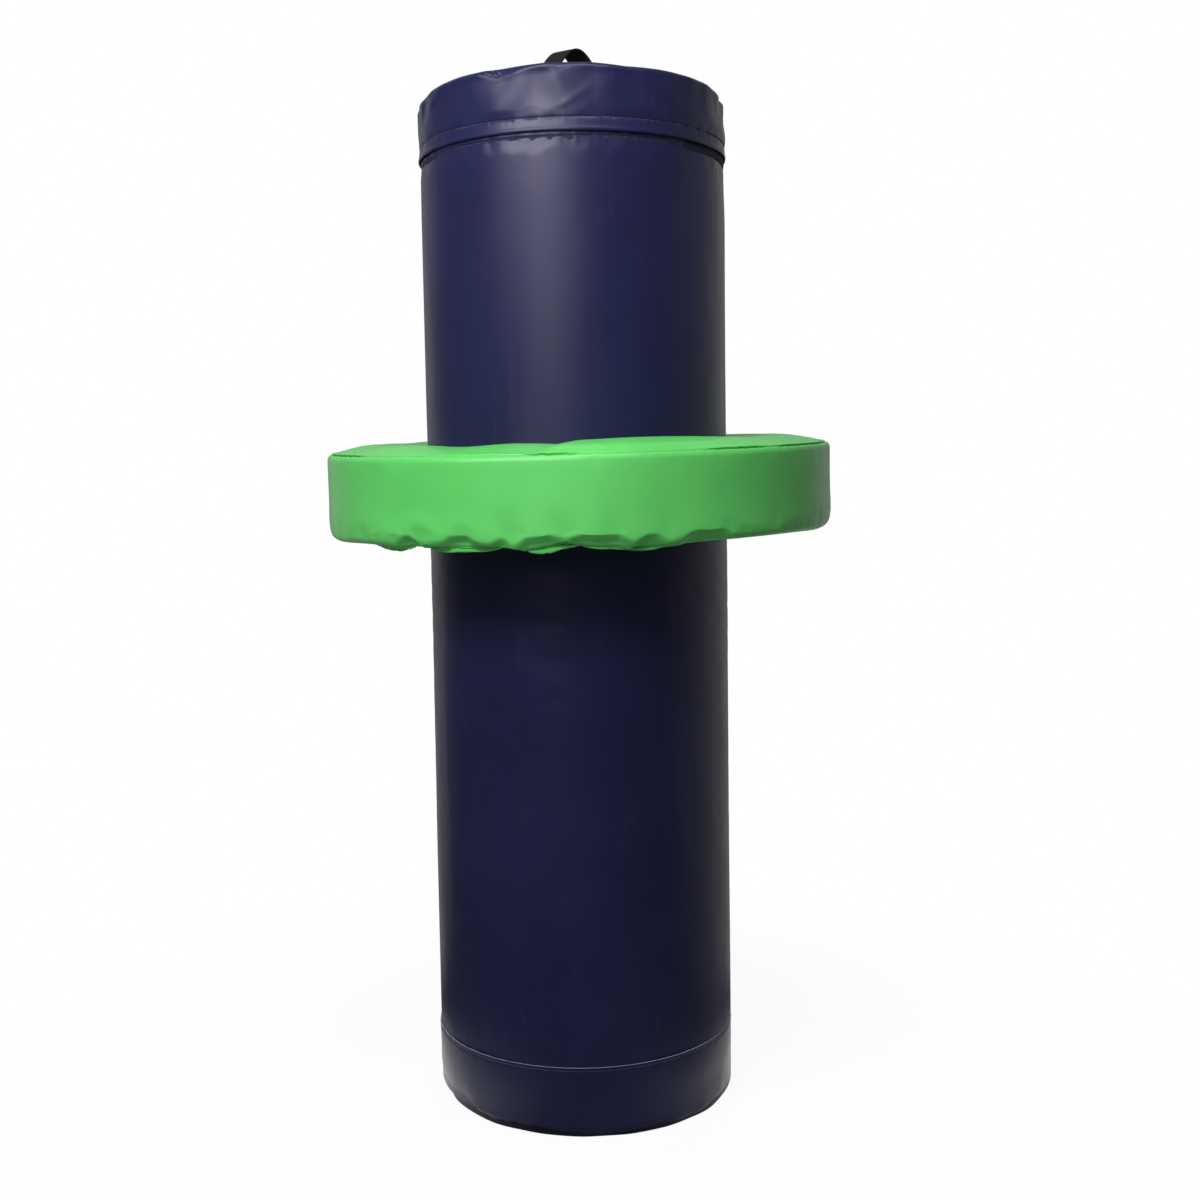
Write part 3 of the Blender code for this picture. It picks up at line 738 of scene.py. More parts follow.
def simulate(points, pinned, taut, slack):
    """The shape that cloth simulation gives a skin that has spare cloth where it isn't taut.

    Pinned and taut hold a weight for each point. Slack is how much longer the spare cloth is than the
    shape it starts from.
    """
    mesh = bpy.data.meshes.new("sheet")
    mesh.from_pydata(points.reshape(-1, 3).tolist(), [], grid(*points.shape[:2])[2].tolist())
    sheet = show("sheet", mesh)
    for name, weights in (("pinned", pinned), ("taut", taut)):
        group = sheet.vertex_groups.new(name=name)
        levels = np.round(np.broadcast_to(weights, points.shape[:2]).ravel(), 2)
        for level in np.unique(levels[levels > 0.0]):
            group.add(np.flatnonzero(levels == level).tolist(), float(level), "REPLACE")
    cloth = sheet.modifiers.new("cloth", "CLOTH")
    for setting, value in CLOTH.items():
        setattr(cloth.settings, setting, value)
    cloth.settings.shrink_min = -slack
    cloth.settings.shrink_max = 0.0
    cloth.settings.effector_weights.gravity = 0.0
    cloth.collision_settings.use_collision = False
    cloth.point_cache.frame_start = 1
    cloth.point_cache.frame_end = CLOTH_FRAMES
    scene = bpy.context.scene
    for frame_number in range(1, CLOTH_FRAMES + 1):
        scene.frame_set(frame_number)
    settled = evaluated(sheet)
    flat = np.zeros(points.size)
    settled.vertices.foreach_get("co", flat)
    scene.frame_set(1)
    bpy.data.objects.remove(sheet)
    bpy.data.meshes.remove(settled)
    return flat.reshape(points.shape)


def puffed(profile, held, seams, angles, slack, reach, lively=1.0):
    """Radii and heights of the profile turned round the bag, with the cloth beside its seams puffed.

    Held is 1 at the rows that can't move. Seams gives, for each seam, how far past it each row is, the
    width of its spare cloth and its share of the slack. Angles has twice the columns that are simulated,
    and lively says for each of them how much of the movement is kept. None moves further than reach.
    """
    start = place(profile[:, :1], profile[:, 1:], angles)
    sparse = start[:, ::2]
    loose = np.zeros((len(profile), 1))
    ripple = np.zeros((len(profile), sparse.shape[1]))
    for seed, (past, width, share) in enumerate(seams, 77):
        away = np.abs(past)
        spare = np.where(away < 0.003, 0.0, near(away, width, 0.9 * width))
        loose = np.maximum(loose, share * spare)
        ripple += 0.0013 * share * ruffle(angles[:, ::2], seed, 20, 38) * near(away, width, width)
    nearest = np.min([np.abs(past) for past, width, share in seams], axis=0)
    pinned = np.maximum(held, 0.5 * near(nearest, 0.0, 0.002))
    step = simulate(raised(sparse, ripple[..., None]), pinned, 1.0 - loose, slack) - sparse
    length = np.linalg.norm(step, axis=-1, keepdims=True)
    step *= np.minimum(1.0, reach / np.maximum(length, 1e-9))
    after, far, before = (np.roll(step, shift, axis=1) for shift in (-1, -2, 1))
    moved = np.empty_like(start)
    moved[:, ::2] = step
    moved[:, 1::2] = (9.0 * (step + after) - (before + far)) / 16.0
    start = start + moved * np.broadcast_to(lively, angles.shape)[..., None]
    return np.linalg.norm(start[..., :2], axis=-1), start[..., 2]


def make_cover(finish):
    """The long vinyl tube, with its back lap seam, its dents and the puckers at its stitching."""
    columns = 640
    angles = turned_angles(columns)[None, :]
    stops = [
        COVER_TOP, (LOWER_ROW, 6), (LOWER_ROW - 0.012, 8), (LOWER_ROW - 0.03, 8), (1.20, 8), (0.80, 34),
        (0.55, 34), (0.16, 28), (FOOT_TOP, 8), (COVER_BOTTOM, 5),
    ]
    heights = spaced(stops)[:, None]
    radius = np.full((len(heights), columns), BAG_RADIUS)
    radius += 0.0009 * np.minimum(swell(angles, heights, 11, (2, 5), (0.3, 1.6)) - 0.3, 0.1)
    radius += 0.0003 * np.minimum(swell(angles, heights, 12, (7, 20), (0.2, 1.4)), 0.3)
    slump = near(heights, 0.70, 0.10) + 0.35 * near(heights, 0.45, 0.2)
    ridges = swell(angles, heights, 13, (3, 9), (7.0, 16.0))
    radius -= 0.00055 * slump * near(ridges, 0.0, 0.28)
    radius += creased(angles, heights, COVER_CREASES)
    fine = swell(angles, heights, 14, (70, 150), (0.0, 6.0))
    coarse = swell(angles, heights, 15, (34, 64), (0.0, 3.0))
    away = np.abs(heights - LOWER_ROW)
    radius += 0.0003 * fine * np.exp(-away / 0.006) + 0.0004 * coarse * np.exp(-away / 0.009)
    fade = 0.021 + 0.007 * ruffle(angles, 16, 16, 44)
    radius -= 0.0014 * fall(LOWER_ROW - heights, 0.0, fade) * (heights <= LOWER_ROW)
    radius -= 0.0016 * near(np.degrees(angles), 84.0, 30.0) * ramp(heights, 1.21, 1.28)
    radius -= 0.0009 * (heights > LOWER_ROW)
    radius -= 0.0007 * near(heights, LOWER_ROW, 0.0012)
    radius += 0.0002 * fine * np.exp(-np.abs(heights - FOOT_TOP) / 0.01)
    lap = (angles % TURN) - math.pi
    radius -= 0.0008 * ramp(lap, -0.13, -0.002) * (lap < 0.0) * ramp(np.abs(lap), 0.0, 0.001)
    radius = np.minimum(radius, BAG_RADIUS + 0.0001)
    outer = place(radius, heights, angles)
    bore = place(BAG_RADIUS - 3.2 * VINYL, heights[[-1, 0]], angles)
    cover = skin("cover_shell", np.concatenate([outer, bore]), finish, looped=True)
    settle(cover)
    carry(cover, "bag", finish, "bag_cover")
    row = np.argmin(np.abs(heights[:, 0] - LOWER_ROW))
    sew("bag", raised(outer[row]))
    for back_seam_angle in (0.018, 0.095):
        column = round(back_seam_angle / TURN * columns) - columns
        sew("bag", raised(outer[8:-12, column]), closed=False)


def make_foot(finish, base_finish, edge):
    """The bottom band with its crumpled lower hem, and the dished base panel that it is sewn to."""
    angles = turned_angles(320)[None, :]
    degrees = np.degrees(angles)
    hem = np.interp(degrees, *zip(*FOOT_HEM))
    hem += 0.0030 * ramp(np.abs(degrees), 75.0, 90.0) * ruffle(angles, 21, 6, 14)
    hem += 0.0006 * ruffle(angles, 22, 40, 80)
    hem = np.clip(hem, 0.0012, 0.018)
    share = spaced([0.0, (0.035, 2), (0.08, 3), (0.6, 18), (0.85, 12), (1.0, 10)])[:, None]
    heights = FOOT_TOP - (FOOT_TOP - hem) * share
    rise = heights - hem
    radius = np.full(heights.shape, FOOT_RADIUS)
    radius += 0.0009 * swell(angles, heights, 23, (4, 9), (2.0, 7.0)) * ramp(share, 0.1, 0.5)
    buckle = swell(angles, heights, 24, (12, 26), (4.0, 14.0))
    radius += 0.0013 * buckle * np.exp(-rise / 0.016) * ramp(share, 0.2, 0.6)
    radius -= 0.0022 * fall(rise, 0.0, 0.010) ** 2
    radius -= (0.0016 + 0.0022 * fall(heights, 0.0, 0.07)) * near(degrees, 90.0, 40.0)
    tuck = 1.0 - 0.8 * between(degrees, ((8.0, 62.0),), 8.0)
    radius -= 0.0030 * tuck * fall(heights, 0.0, 0.050) ** 2
    radius -= 0.0002 * near(heights, FOOT_ROW, 0.0014)
    radius += 0.0003 * ruffle(angles, 25, 40, 80) * near(heights, FOOT_ROW, 0.006)
    radius = np.clip(radius, FOOT_RADIUS - 0.0050, FOOT_RADIUS + 0.0022)
    outer = place(radius, heights, angles)
    outer[..., 0] += FOOT_LEAN * fall(heights, 0.0, 0.045)
    band = skin("foot_band", outer, finish)
    thicken(band, VINYL, edge)
    for face in band.data.polygons:
        if face.center.z < FOOT_ROW:
            face.material_index = 0
    carry(band, "bag", finish, "bottom_band")
    row = np.argmin(np.abs(share[:, 0] - (FOOT_TOP - FOOT_ROW) / FOOT_TOP))
    sew("bag", raised(outer[row]), pitch=FOOT_PITCH)

    lip_radius = FOOT_RADIUS - 0.0030 - 0.0027 * tuck + 0.0008 * ruffle(angles, 27, 8, 22)
    rows = [(lip_radius - 0.0006, hem + 0.0045)]
    rows += [(r, -z) for r, z in arc(lip_radius, 0.0, FOOT_CORNER, 0.0, math.pi / 2, 7)]
    sag = np.maximum(0.0003 * ruffle(angles, 28, 3, 9), 0.0)
    rows += [(lip_radius - FOOT_CORNER - inset, sag) for inset in (0.014, 0.034, 0.094, 0.154, 0.194)]
    rows.append((0.0, 0.0))
    points = np.concatenate([place(r, z, angles) for r, z in rows])
    points[..., 0] += FOOT_LEAN
    dish = skin("base_dish", points, base_finish)
    thicken(dish, BASE_VINYL)
    carry(dish, "bag", base_finish, "base_panel")


def lid_profile():
    """Radii and heights from the middle of the lid's top to the edge of its flap, and the seam's row."""
    radii = [0.0, (0.12, 8), (0.18, 8), (LID_SEAM_RADIUS - 0.004, 6), (LID_SEAM_RADIUS, 3)]
    top = [(radius, BAG_TOP) for radius in spaced(radii)]
    turn = arc(LID_RADIUS, BAG_TOP, LID_CORNER, math.pi / 2, 0.0, 8)[1:]
    levels = [
        BAG_TOP - LID_CORNER, (UPPER_ROW + 0.014, 14), (UPPER_ROW + 0.003, 6), (UPPER_ROW, 3),
        (WINDOW_TOP, 1), (FLAP_EDGE + 0.003, 7), (FLAP_EDGE + 0.0006, 2), (FLAP_EDGE, 1),
    ]
    side = [(LID_RADIUS, level) for level in spaced(levels)[1:]]
    return np.array(top + turn + side), len(top) - 1


def crumple_rim(radius, heights, reach, level, angles):
    """Bends the lid's rim to the outline in the photograph, and crumples and creases its wall."""
    degrees = np.degrees(angles)
    wall = ramp(reach, 0.2105, 0.2117)
    band = ramp(reach, 0.200, 0.2105) * ramp(level, UPPER_ROW, UPPER_ROW + 0.012)
    crumple = swell(angles, level, 31, (9, 24), (6.0, 22.0))
    broad = swell(angles, level, 32, (5, 11), (3.0, 12.0))
    radius += (0.0007 * crumple + 0.0009 * broad) * band
    rim = ramp(reach, 0.17, LID_SEAM_RADIUS) * ramp(level, UPPER_ROW + 0.014, BAG_TOP - 0.005)
    facets = ruffle(angles, 36, 12, 30)
    outline = np.interp(degrees, *zip(*RIM_OUTLINE))
    outline += 0.0012 * facets * ramp(np.abs(degrees), 80.0, 100.0)
    ahead = np.cos(angles)
    distance = CAMERA_DISTANCE - LID_RADIUS * ahead
    wanted = (outline - CAMERA_HEIGHT) / distance
    seen_over = (heights - CAMERA_HEIGHT) / (CAMERA_DISTANCE - radius * ahead)
    short = wanted + 0.0006 - np.where(rim > 0.9, seen_over, 0.0).max(axis=0, keepdims=True)
    heights += short * distance * rim
    radius -= 0.0016 * (near(degrees, -75.0, 6.0) + near(degrees, 71.0, 5.0)) * rim * wall
    turns_at = np.interp(degrees, *zip(*RIM_TURNS))
    turns_at += 0.0022 * ramp(np.abs(degrees), 60.0, 75.0) * facets
    radius += 0.55 * (turns_at - 1.3737) * near(level, 1.3750, 0.0045) * (reach > 0.2)
    radius += creased(angles, level, LID_CREASES) * band


def gather_lid(radius, reach, level, angles):
    """Gathers the lid's wall at its stitching and over the zip, and hangs its flap."""
    wall = ramp(reach, 0.2105, 0.2117)
    gather = 0.0003 * ruffle(angles, 33, 90, 170) + 0.0004 * ruffle(angles, 37, 34, 60)
    scallop = 0.012 + 0.0035 * ruffle(angles, 38, 16, 44)
    dip = np.clip(1.0 - (level - UPPER_ROW) / scallop, 0.0, 1.0) * (level > UPPER_ROW - 0.0001)
    radius -= 0.0014 * wall * dip * (0.7 + 0.3 * dip)
    fade = np.where(level > UPPER_ROW, 0.0035, 0.0050)
    radius += wall * gather * np.exp(-np.abs(level - UPPER_ROW) / fade)
    radius -= 0.0006 * wall * near(level, UPPER_ROW, 0.0012)
    degrees = np.degrees(angles)
    snug = between(np.abs(degrees), ((50.0, 130.0),), 14.0)
    widest = LID_RADIUS + 0.0030 - 0.0028 * snug
    radius[:] = np.where(reach > 0.2, np.minimum(radius, widest), radius)
    flap = np.clip((UPPER_ROW - level) / (UPPER_ROW - FLAP_EDGE), 0.0, 1.0) * wall
    sag = 0.0019 - 0.0004 * snug + 0.0004 * ruffle(angles, 34, 5, 16)
    radius += (sag * flap - 0.0014) * (level < UPPER_ROW)
    pulled = 0.0010 + 0.0022 * ramp(level, UPPER_ROW + 0.012, UPPER_ROW + 0.032)
    radius -= pulled * ramp(reach, 0.195, 0.2105) * near(degrees, 84.0, 28.0)
    radius += 0.0006 * wall * near(level, FLAP_EDGE + 0.0028, 0.0020)
    radius -= 0.0008 * wall * near(level, FLAP_EDGE, 0.0006)


def make_lid(finish, edge):
    """The lid's round top and its band, crumpled at the rim and gathered at the stitching."""
    angles = turned_angles(640)[None, :]
    profile, seam = lid_profile()
    past = distances(profile, seam)
    reach, level = profile[:, :1], profile[:, 1:]
    held = np.where((reach < 0.13) | (level < UPPER_ROW + 0.001), 1.0, 0.0)
    radius, heights = puffed(profile, held, ((past, 0.018, 1.0),), angles, 0.012, 0.004)
    crumple_rim(radius, heights, reach, level, angles)
    gather_lid(radius, reach, level, angles)
    heights -= 0.0012 * near(past, 0.0, 0.0016)
    puckers = ruffle(angles, 35, 30, 64)
    heights += 0.0008 * puckers * ramp(reach, 0.15, LID_SEAM_RADIUS) * (level > BAG_TOP - 0.0001)
    heights = np.where(reach < 0.135, np.minimum(heights, BAG_TOP), heights)
    points = place(radius, heights, angles)

    panel = skin("lid_top", points[: seam + 1], finish)
    thicken(panel, VINYL)
    carry(panel, "lid", finish, "lid_panel")

    low = (profile[seam:-1, 1] <= WINDOW_TOP + 0.00001)[:, None]
    back = np.abs(np.abs(angles + TURN / angles.size / 2) - math.pi) < WINDOW_ANGLE
    side = skin("lid_side", points[seam:], finish, keep=~(low & back))
    thicken(side, VINYL, edge)
    carry(side, "lid", finish, "lid_band")
    row = np.argmin(np.abs(profile[:, 1] - UPPER_ROW))
    sew("lid", raised(points[row]))


def ring_profile():
    """Radii, heights and the two seam rows of the ring's cover, from the top of its bore to the bottom."""
    skirt = [(RING_INNER, RING_TOP - 0.026), (RING_INNER, RING_TOP - 0.016)]
    inner = arc(RING_INNER, RING_TOP, RING_ROLL, 0.0, math.pi / 2, 6, side=-1)
    seam_radius = RING_RADIUS - RING_CORNER * (1 - math.cos(RING_SEAM_ANGLE))
    seam_drop = RING_CORNER * (1 - math.sin(RING_SEAM_ANGLE))
    first = RING_INNER + RING_ROLL
    stops = [first, (seam_radius - 0.03, 16), (seam_radius - 0.011, 8), (seam_radius, 11)]
    crown = []
    for radius in spaced(stops)[1:]:
        share = (radius - first) / (seam_radius - first)
        crown.append((radius, RING_TOP + RING_CROWN * math.sin(math.pi * share) - seam_drop * share))
    corner = arc(RING_RADIUS, RING_TOP, RING_CORNER, RING_SEAM_ANGLE, 0.0, 8)[1:]
    upper = skirt + inner + crown + corner
    low = RING_BOTTOM + RING_CORNER
    levels = spaced([RING_TOP - RING_CORNER, (low + 0.012, 13), (low, 8)])
    wall = [(RING_RADIUS, level) for level in levels[1:-1]]
    lower = [(radius, 2 * RING_MIDDLE - height) for radius, height in upper[::-1]]
    seam = len(skirt) + len(inner) + len(crown) - 1
    profile = np.array(upper + wall + lower)
    return profile, seam, len(profile) - 1 - seam


def gather_lower_seam(radius, heights, profile, past, angles, unseen):
    """The hollows above the ring's lower seam, the seam's rise and fall, and the puffs under it."""
    degrees = np.degrees(angles)
    dents = between(degrees, RING_HOLLOWS, 2.2) + unseen * ramp(ruffle(angles, 43, 14, 30), 0.2, 1.2)
    dents = np.minimum(dents, 1.0)
    aside = 1.0 - between(degrees, ((-46.0, 50.0),), 8.0)
    outside = fall(past, 0.006, 0.035)
    hollow = np.clip((past + 0.0060 + 0.0105 * dents) / 0.0085, 0.0, 1.0)
    radius -= (0.0012 + 0.0062 * dents) * hollow * outside
    radius -= 0.0020 * aside * ramp(past, -0.035, 0.004) * outside
    rises = sum(rise * near(degrees, centre, half) for centre, half, rise in RING_SEAM_WAVES)
    rises += 0.0024 * unseen * ruffle(angles, 44, 9, 22)
    heights += rises * near(past, 0.0, 0.022)
    puffs = lens(degrees, RING_PUFFS) + 0.6 * unseen * ramp(ruffle(angles, 47, 12, 26), -0.3, 1.0)
    seam_height = profile[np.argmin(np.abs(past)), 1]
    sunk = np.clip(seam_height - profile[:, 1:], 0.0, None) * (past > 0.0)
    heights += 0.92 * sunk - 0.0078 * puffs * near(past, 0.021, 0.013)
    radius += 0.0026 * puffs * near(past, 0.0024, 0.0018)
    radius -= (0.0010 + 0.0016 * puffs) * near(past, 0.0, 0.0009)


def gather_upper_seam(radius, heights, past, angles, unseen):
    """The open cracks of the ring's upper seam, and the fold and soft waves of its top."""
    degrees = np.degrees(angles)
    far_cracks = unseen * ramp(ruffle(angles, 45, 4, 11), -0.5, 0.5)
    depth = 0.35 + 0.65 * np.maximum(between(degrees, RING_CRACKS), far_cracks)
    line = near(past, 0.0, 0.0011)
    radius -= 0.0045 * depth * line
    heights -= 0.0030 * depth * line
    heights += 0.0013 * depth * near(past, -0.005, 0.004)
    radius += 0.0008 * depth * near(past, -0.003, 0.003)
    heights += 0.0005 * ruffle(angles, 41, 90, 170) * np.exp(-np.abs(past) / 0.005)
    inwards = np.clip(-past, 0.0, None)
    fold_line = -9.0 + 11.0 * ramp(inwards, 0.0, 0.13)
    hump = ramp(degrees - fold_line, -1.2, 5.0) * fall(degrees, 20.0, 60.0)
    heights += 0.0050 * hump * ramp(inwards, 0.001, 0.02) * fall(inwards, 0.10, 0.135)
    waves = swell(angles, heights, 46, (7, 16))
    heights += 0.0010 * waves * ramp(inwards, 0.01, 0.05) * fall(inwards, 0.11, 0.135)


def lean_ring(points):
    """Gives points of the ring its lean."""
    points[..., 2] += RING_RISE_RIGHT * points[..., 0] + RING_RISE_BACK * points[..., 1]


def make_ring(finish, foam_finish):
    """The ring's cover of three panels, gathered at its seams, over its foam."""
    angles = turned_angles(720)[None, :]
    degrees = np.degrees(angles)
    profile, upper_seam, lower_seam = ring_profile()
    past_upper, past_lower = distances(profile, upper_seam), distances(profile, lower_seam)
    held = np.where(profile[:, :1] < RING_INNER + 0.004, 1.0, 0.0)
    seams = ((past_upper, 0.012, 0.10), (past_lower, 0.016, 1.0))
    unseen = ramp(np.abs(degrees), 95.0, 112.0)
    lively = 0.25 + 0.25 * between(degrees, ((-46.0, 12.0),), 8.0) + 0.75 * unseen
    radius, heights = puffed(profile, held, seams, angles, 0.018, 0.006, lively)
    outer = ramp(profile[:, :1], RING_INNER + 0.04, RING_RADIUS - 0.01)
    radius += 0.0009 * swell(angles, heights, 42, (3, 8), (2.0, 6.0)) * outer
    gather_lower_seam(radius, heights, profile, past_lower, angles, unseen)
    gather_upper_seam(radius, heights, past_upper, angles, unseen)
    deepest = RING_RADIUS - 0.0140
    radius = np.where(np.abs(past_lower) < 0.07, np.maximum(radius, deepest), radius)
    points = place(radius, heights, angles)
    points[..., 0] += RING_OFF_CENTRE * outer
    lean_ring(points)
    for name, rows, node in (
        ("ring_top", slice(0, upper_seam + 1), "ring_top_panel"),
        ("ring_band", slice(upper_seam, lower_seam + 1), "ring_outer_band"),
        ("ring_underside", slice(lower_seam, None), "ring_bottom_panel"),
    ):
        piece = skin(name, points[rows], finish)
        thicken(piece, VINYL)
        carry(piece, "ring", finish, node)

    radii = np.clip(profile[2:-2:3, :1], RING_INNER + 0.004, RING_RADIUS - 0.0160)
    heights = RING_MIDDLE + (profile[2:-2:3, 1:] - RING_MIDDLE) * 0.73
    filling = place(radii, heights, turned_angles(96)[None, :])
    lean_ring(filling)
    pad = skin("ring_filling", filling, foam_finish, looped=True)
    settle(pad)
    carry(pad, "ring", foam_finish, "ring_foam_upper", "ring_foam_lower")


def make_liner(finish):
    """The sleeve inside the ring, which runs on the cover."""
    heights = np.linspace(RING_TOP - 0.014, RING_BOTTOM + 0.014, 14)[:, None]
    liner = skin("ring_liner", place(SLEEVE_RADIUS, heights, turned_angles(192)[None, :]), finish)
    thicken(liner, LINER)
    carry(liner, "ring_carrier", finish, "ring_sleeve")


def handle_path():
    """Points, and the slope there, along the middle of the handle's webbing."""
    far = HANDLE_HALF_SPAN + HANDLE_FOOT
    xs = spaced([-far, (-HANDLE_HALF_SPAN, 14), (HANDLE_HALF_SPAN, 72), (far, 14)])
    phase = np.clip(math.pi * xs / (2 * HANDLE_HALF_SPAN), -math.pi / 2, math.pi / 2)
    lift = np.where(np.abs(xs) < HANDLE_HALF_SPAN, HANDLE_RISE * np.cos(phase) ** 2, 0.0)
    return xs, lift, np.arctan2(np.gradient(lift), np.gradient(xs))


def on_lid(x, y, z):
    """Points of the handle, turned and moved to its place on the lid."""
    x, y, z = np.broadcast_arrays(x, y, z)
    cos, sin = math.cos(HANDLE_TURN), math.sin(HANDLE_TURN)
    return np.stack([x * cos - y * sin + HANDLE_SHIFT, x * sin + y * cos, z], axis=-1)


def make_handle(finish):
    """The carry handle: one strip of webbing, sewn flat at both ends."""
    xs, lift, lean = handle_path()
    half, thick = HANDLE_WIDTH / 2, WEBBING / 2
    section = []
    for side in (1, -1):
        section += [(side * half * 0.97 * (1 - 2 * k / 24), side * thick) for k in range(25)]
        section.append((-side * half * 0.992, side * thick * 0.7))
        section.append((-side * half, 0.0))
        section.append((-side * half * 0.992, -side * thick * 0.7))
    across, up = np.array(section).T[:, None, :]
    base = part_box("carry_handle")[0].z + thick
    x = xs[:, None] - up * np.sin(lean)[:, None]
    tilt = HANDLE_TILT * lift[:, None] / HANDLE_RISE
    z = base + lift[:, None] + up * np.cos(lean)[:, None] + across * tilt
    strap = skin("webbing_handle", on_lid(x, across, z), finish)
    with edited(strap.data) as shell:
        ends = [edge for edge in shell.edges if edge.is_boundary]
        bmesh.ops.holes_fill(shell, edges=ends, sides=0)
        bmesh.ops.recalc_face_normals(shell, faces=shell.faces)
    settle(strap)
    carry(strap, "lid", finish, "carry_handle")
    top = base + thick + THREAD_LIFT
    width = half - 0.005
    for side in (1, -1):
        start = side * (HANDLE_HALF_SPAN + 0.006)
        end = side * (HANDLE_HALF_SPAN + HANDLE_FOOT - 0.005)
        corners = [(start, -width), (end, -width), (end, width), (start, width)]
        sew_box("lid", corners, (1, 1), lambda flat: on_lid(flat[:, 0], flat[:, 1], top))


def make_strap(finish, edge):
    """The vinyl strap at the back: sewn to the cover below the fold and to the lid above it."""
    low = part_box("hinge_patch")[0].z
    on_bag, over_lid = BAG_RADIUS + SEAM_GAP + VINYL, LID_RADIUS + STRAP_GAP + VINYL
    angles = math.pi + np.linspace(-TONGUE_ANGLE, TONGUE_ANGLE, 25)[None, :]
    heights = np.linspace(STRAP_TOP, low, 56)[:, None]
    radius = on_bag + (LID_RADIUS + STRAP_GAP - BAG_RADIUS) * ramp(heights, *STRAP_STEP)
    radius = radius + 0.0005 * near(heights, FLAP_EDGE + 0.004, 0.007)
    radius = radius + 0.00025 * swell(angles, heights, 51, (20, 50), (8.0, 20.0))
    strap = skin("hinge_strap", place(radius, heights, angles), finish, wrapped=False)
    thicken(strap, VINYL, edge)
    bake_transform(strap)
    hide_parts("hinge_patch")
    left = math.pi - TONGUE_ANGLE + STRAP_MARGIN_ANGLE
    right = math.pi + TONGUE_ANGLE - STRAP_MARGIN_ANGLE
    for body, bottom, top, reach in (
        ("lid", *STRAP_LID_BOX, over_lid + SEAM_GAP),
        ("bag", low + 0.004, STRAP_BAG_BOX_TOP, on_bag + SEAM_GAP),
    ):
        corners = [(left, bottom), (right, bottom), (right, top), (left, top)]
        sew_box(body, corners, (23, 11), lambda flat: place(reach, flat[:, 1], flat[:, 0]))


def tape_uv(mesh):
    """A UV map in metres: the way round the bag, and the height."""
    while mesh.uv_layers:
        mesh.uv_layers.remove(mesh.uv_layers[0])
    layer = mesh.uv_layers.new(name="UVMap")
    for loop in mesh.loops:
        co = mesh.vertices[loop.vertex_index].co
        layer.data[loop.index].uv = (math.atan2(co.x, -co.y) * BAG_RADIUS, co.z)


def make_zip(tape_finish, coil_finish, metal):
    """The zip: woven tapes, coiled teeth, slider, tab and stops."""
    half_depth, strand, pitch = 0.0010, 0.00032, 0.0022
    tucked = BAG_RADIUS - TAPE_TUCK
    for name, body, start in (("lower", "bag", 0.2519), ("upper", "lid", 0.3228)):
        node = "zip_tape_" + name
        tape = copied(
            node, "tape_" + name, tape_finish, lambda z: tucked if z > UPPER_ROW + 0.002 else math.inf
        )
        tape_uv(tape.data)
        settle(tape, math.radians(60))
        carry(tape, body, tape_finish, node)

        low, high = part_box("zip_coil_" + name)
        middle, half_height = (low.z + high.z) / 2, (high.z - low.z) / 2
        span = TURN - 2 * start
        steps = np.arange(int(span * high.x / pitch) * 8 + 1)
        turn = TURN * steps / 8
        angle = -math.pi + start + span * steps / steps[-1]
        radius = high.x - half_depth + (half_depth - strand) * np.cos(turn)
        height = middle + (half_height - strand) * np.sin(turn)
        paths = [(place(radius, height, angle), False)]
        coil = grown("teeth_" + name, paths, STRAND, coil_finish, Radius=strand)
        carry(coil, body, coil_finish, "zip_coil_" + name)
    for node, body, name in (
        ("zip_slider", "slider", "slider_body"),
        ("pull_tab", "tab", "slider_tab"),
        ("zip_stop_right", "bag", "end_stop_right"),
        ("zip_stop_left", "bag", "end_stop_left"),
    ):
        piece = copied(node, name, metal)
        bevel = piece.modifiers.new("bevel", "BEVEL")
        bevel.width = 0.0002
        bevel.segments = 2
        bevel.limit_method = "ANGLE"
        bevel.angle_limit = math.radians(40)
        settle(piece)
        carry(piece, body, metal, node)


def foam_limit(height):
    """How far out the foam reaches at a height: less beside the lid's rim and the dished foot."""
    if height > BAG_TOP - 0.02:
        return FOAM_RADIUS - 0.011
    if height < 0.06:
        return FOAM_RADIUS - 0.0085
    return FOAM_RADIUS


def make_column(core_finish, wrap_finish):
    """The foam inside, which shows when the lid is open."""
    for node, name, finish, body in (
        ("foam_core", "column_core", core_finish, "bag"),
        ("foam_wrap", "column_wrap", wrap_finish, "bag"),
        ("base_foam_pad", "base_pad", core_finish, "bag"),
        ("lid_foam_pad", "lid_pad", wrap_finish, "lid"),
    ):
        piece = copied(node, name, finish, foam_limit)
        for vertex in piece.data.vertices:
            vertex.co.z = min(vertex.co.z, BAG_TOP - 0.0115)
        settle(piece)
        carry(piece, body, finish, node)


def backdrop(graph, way):
    """How bright the surround is in a direction: a dim room, pale behind and with a window on the right."""
    total = 0.05
    for aim, low, high, brightness in BACKDROP:
        cosine = graph.node("ShaderNodeVectorMath", way, aim, operation="DOT_PRODUCT", output="Value")
        total = total + graph.span(cosine, low, high, 0.0, brightness)
    return total


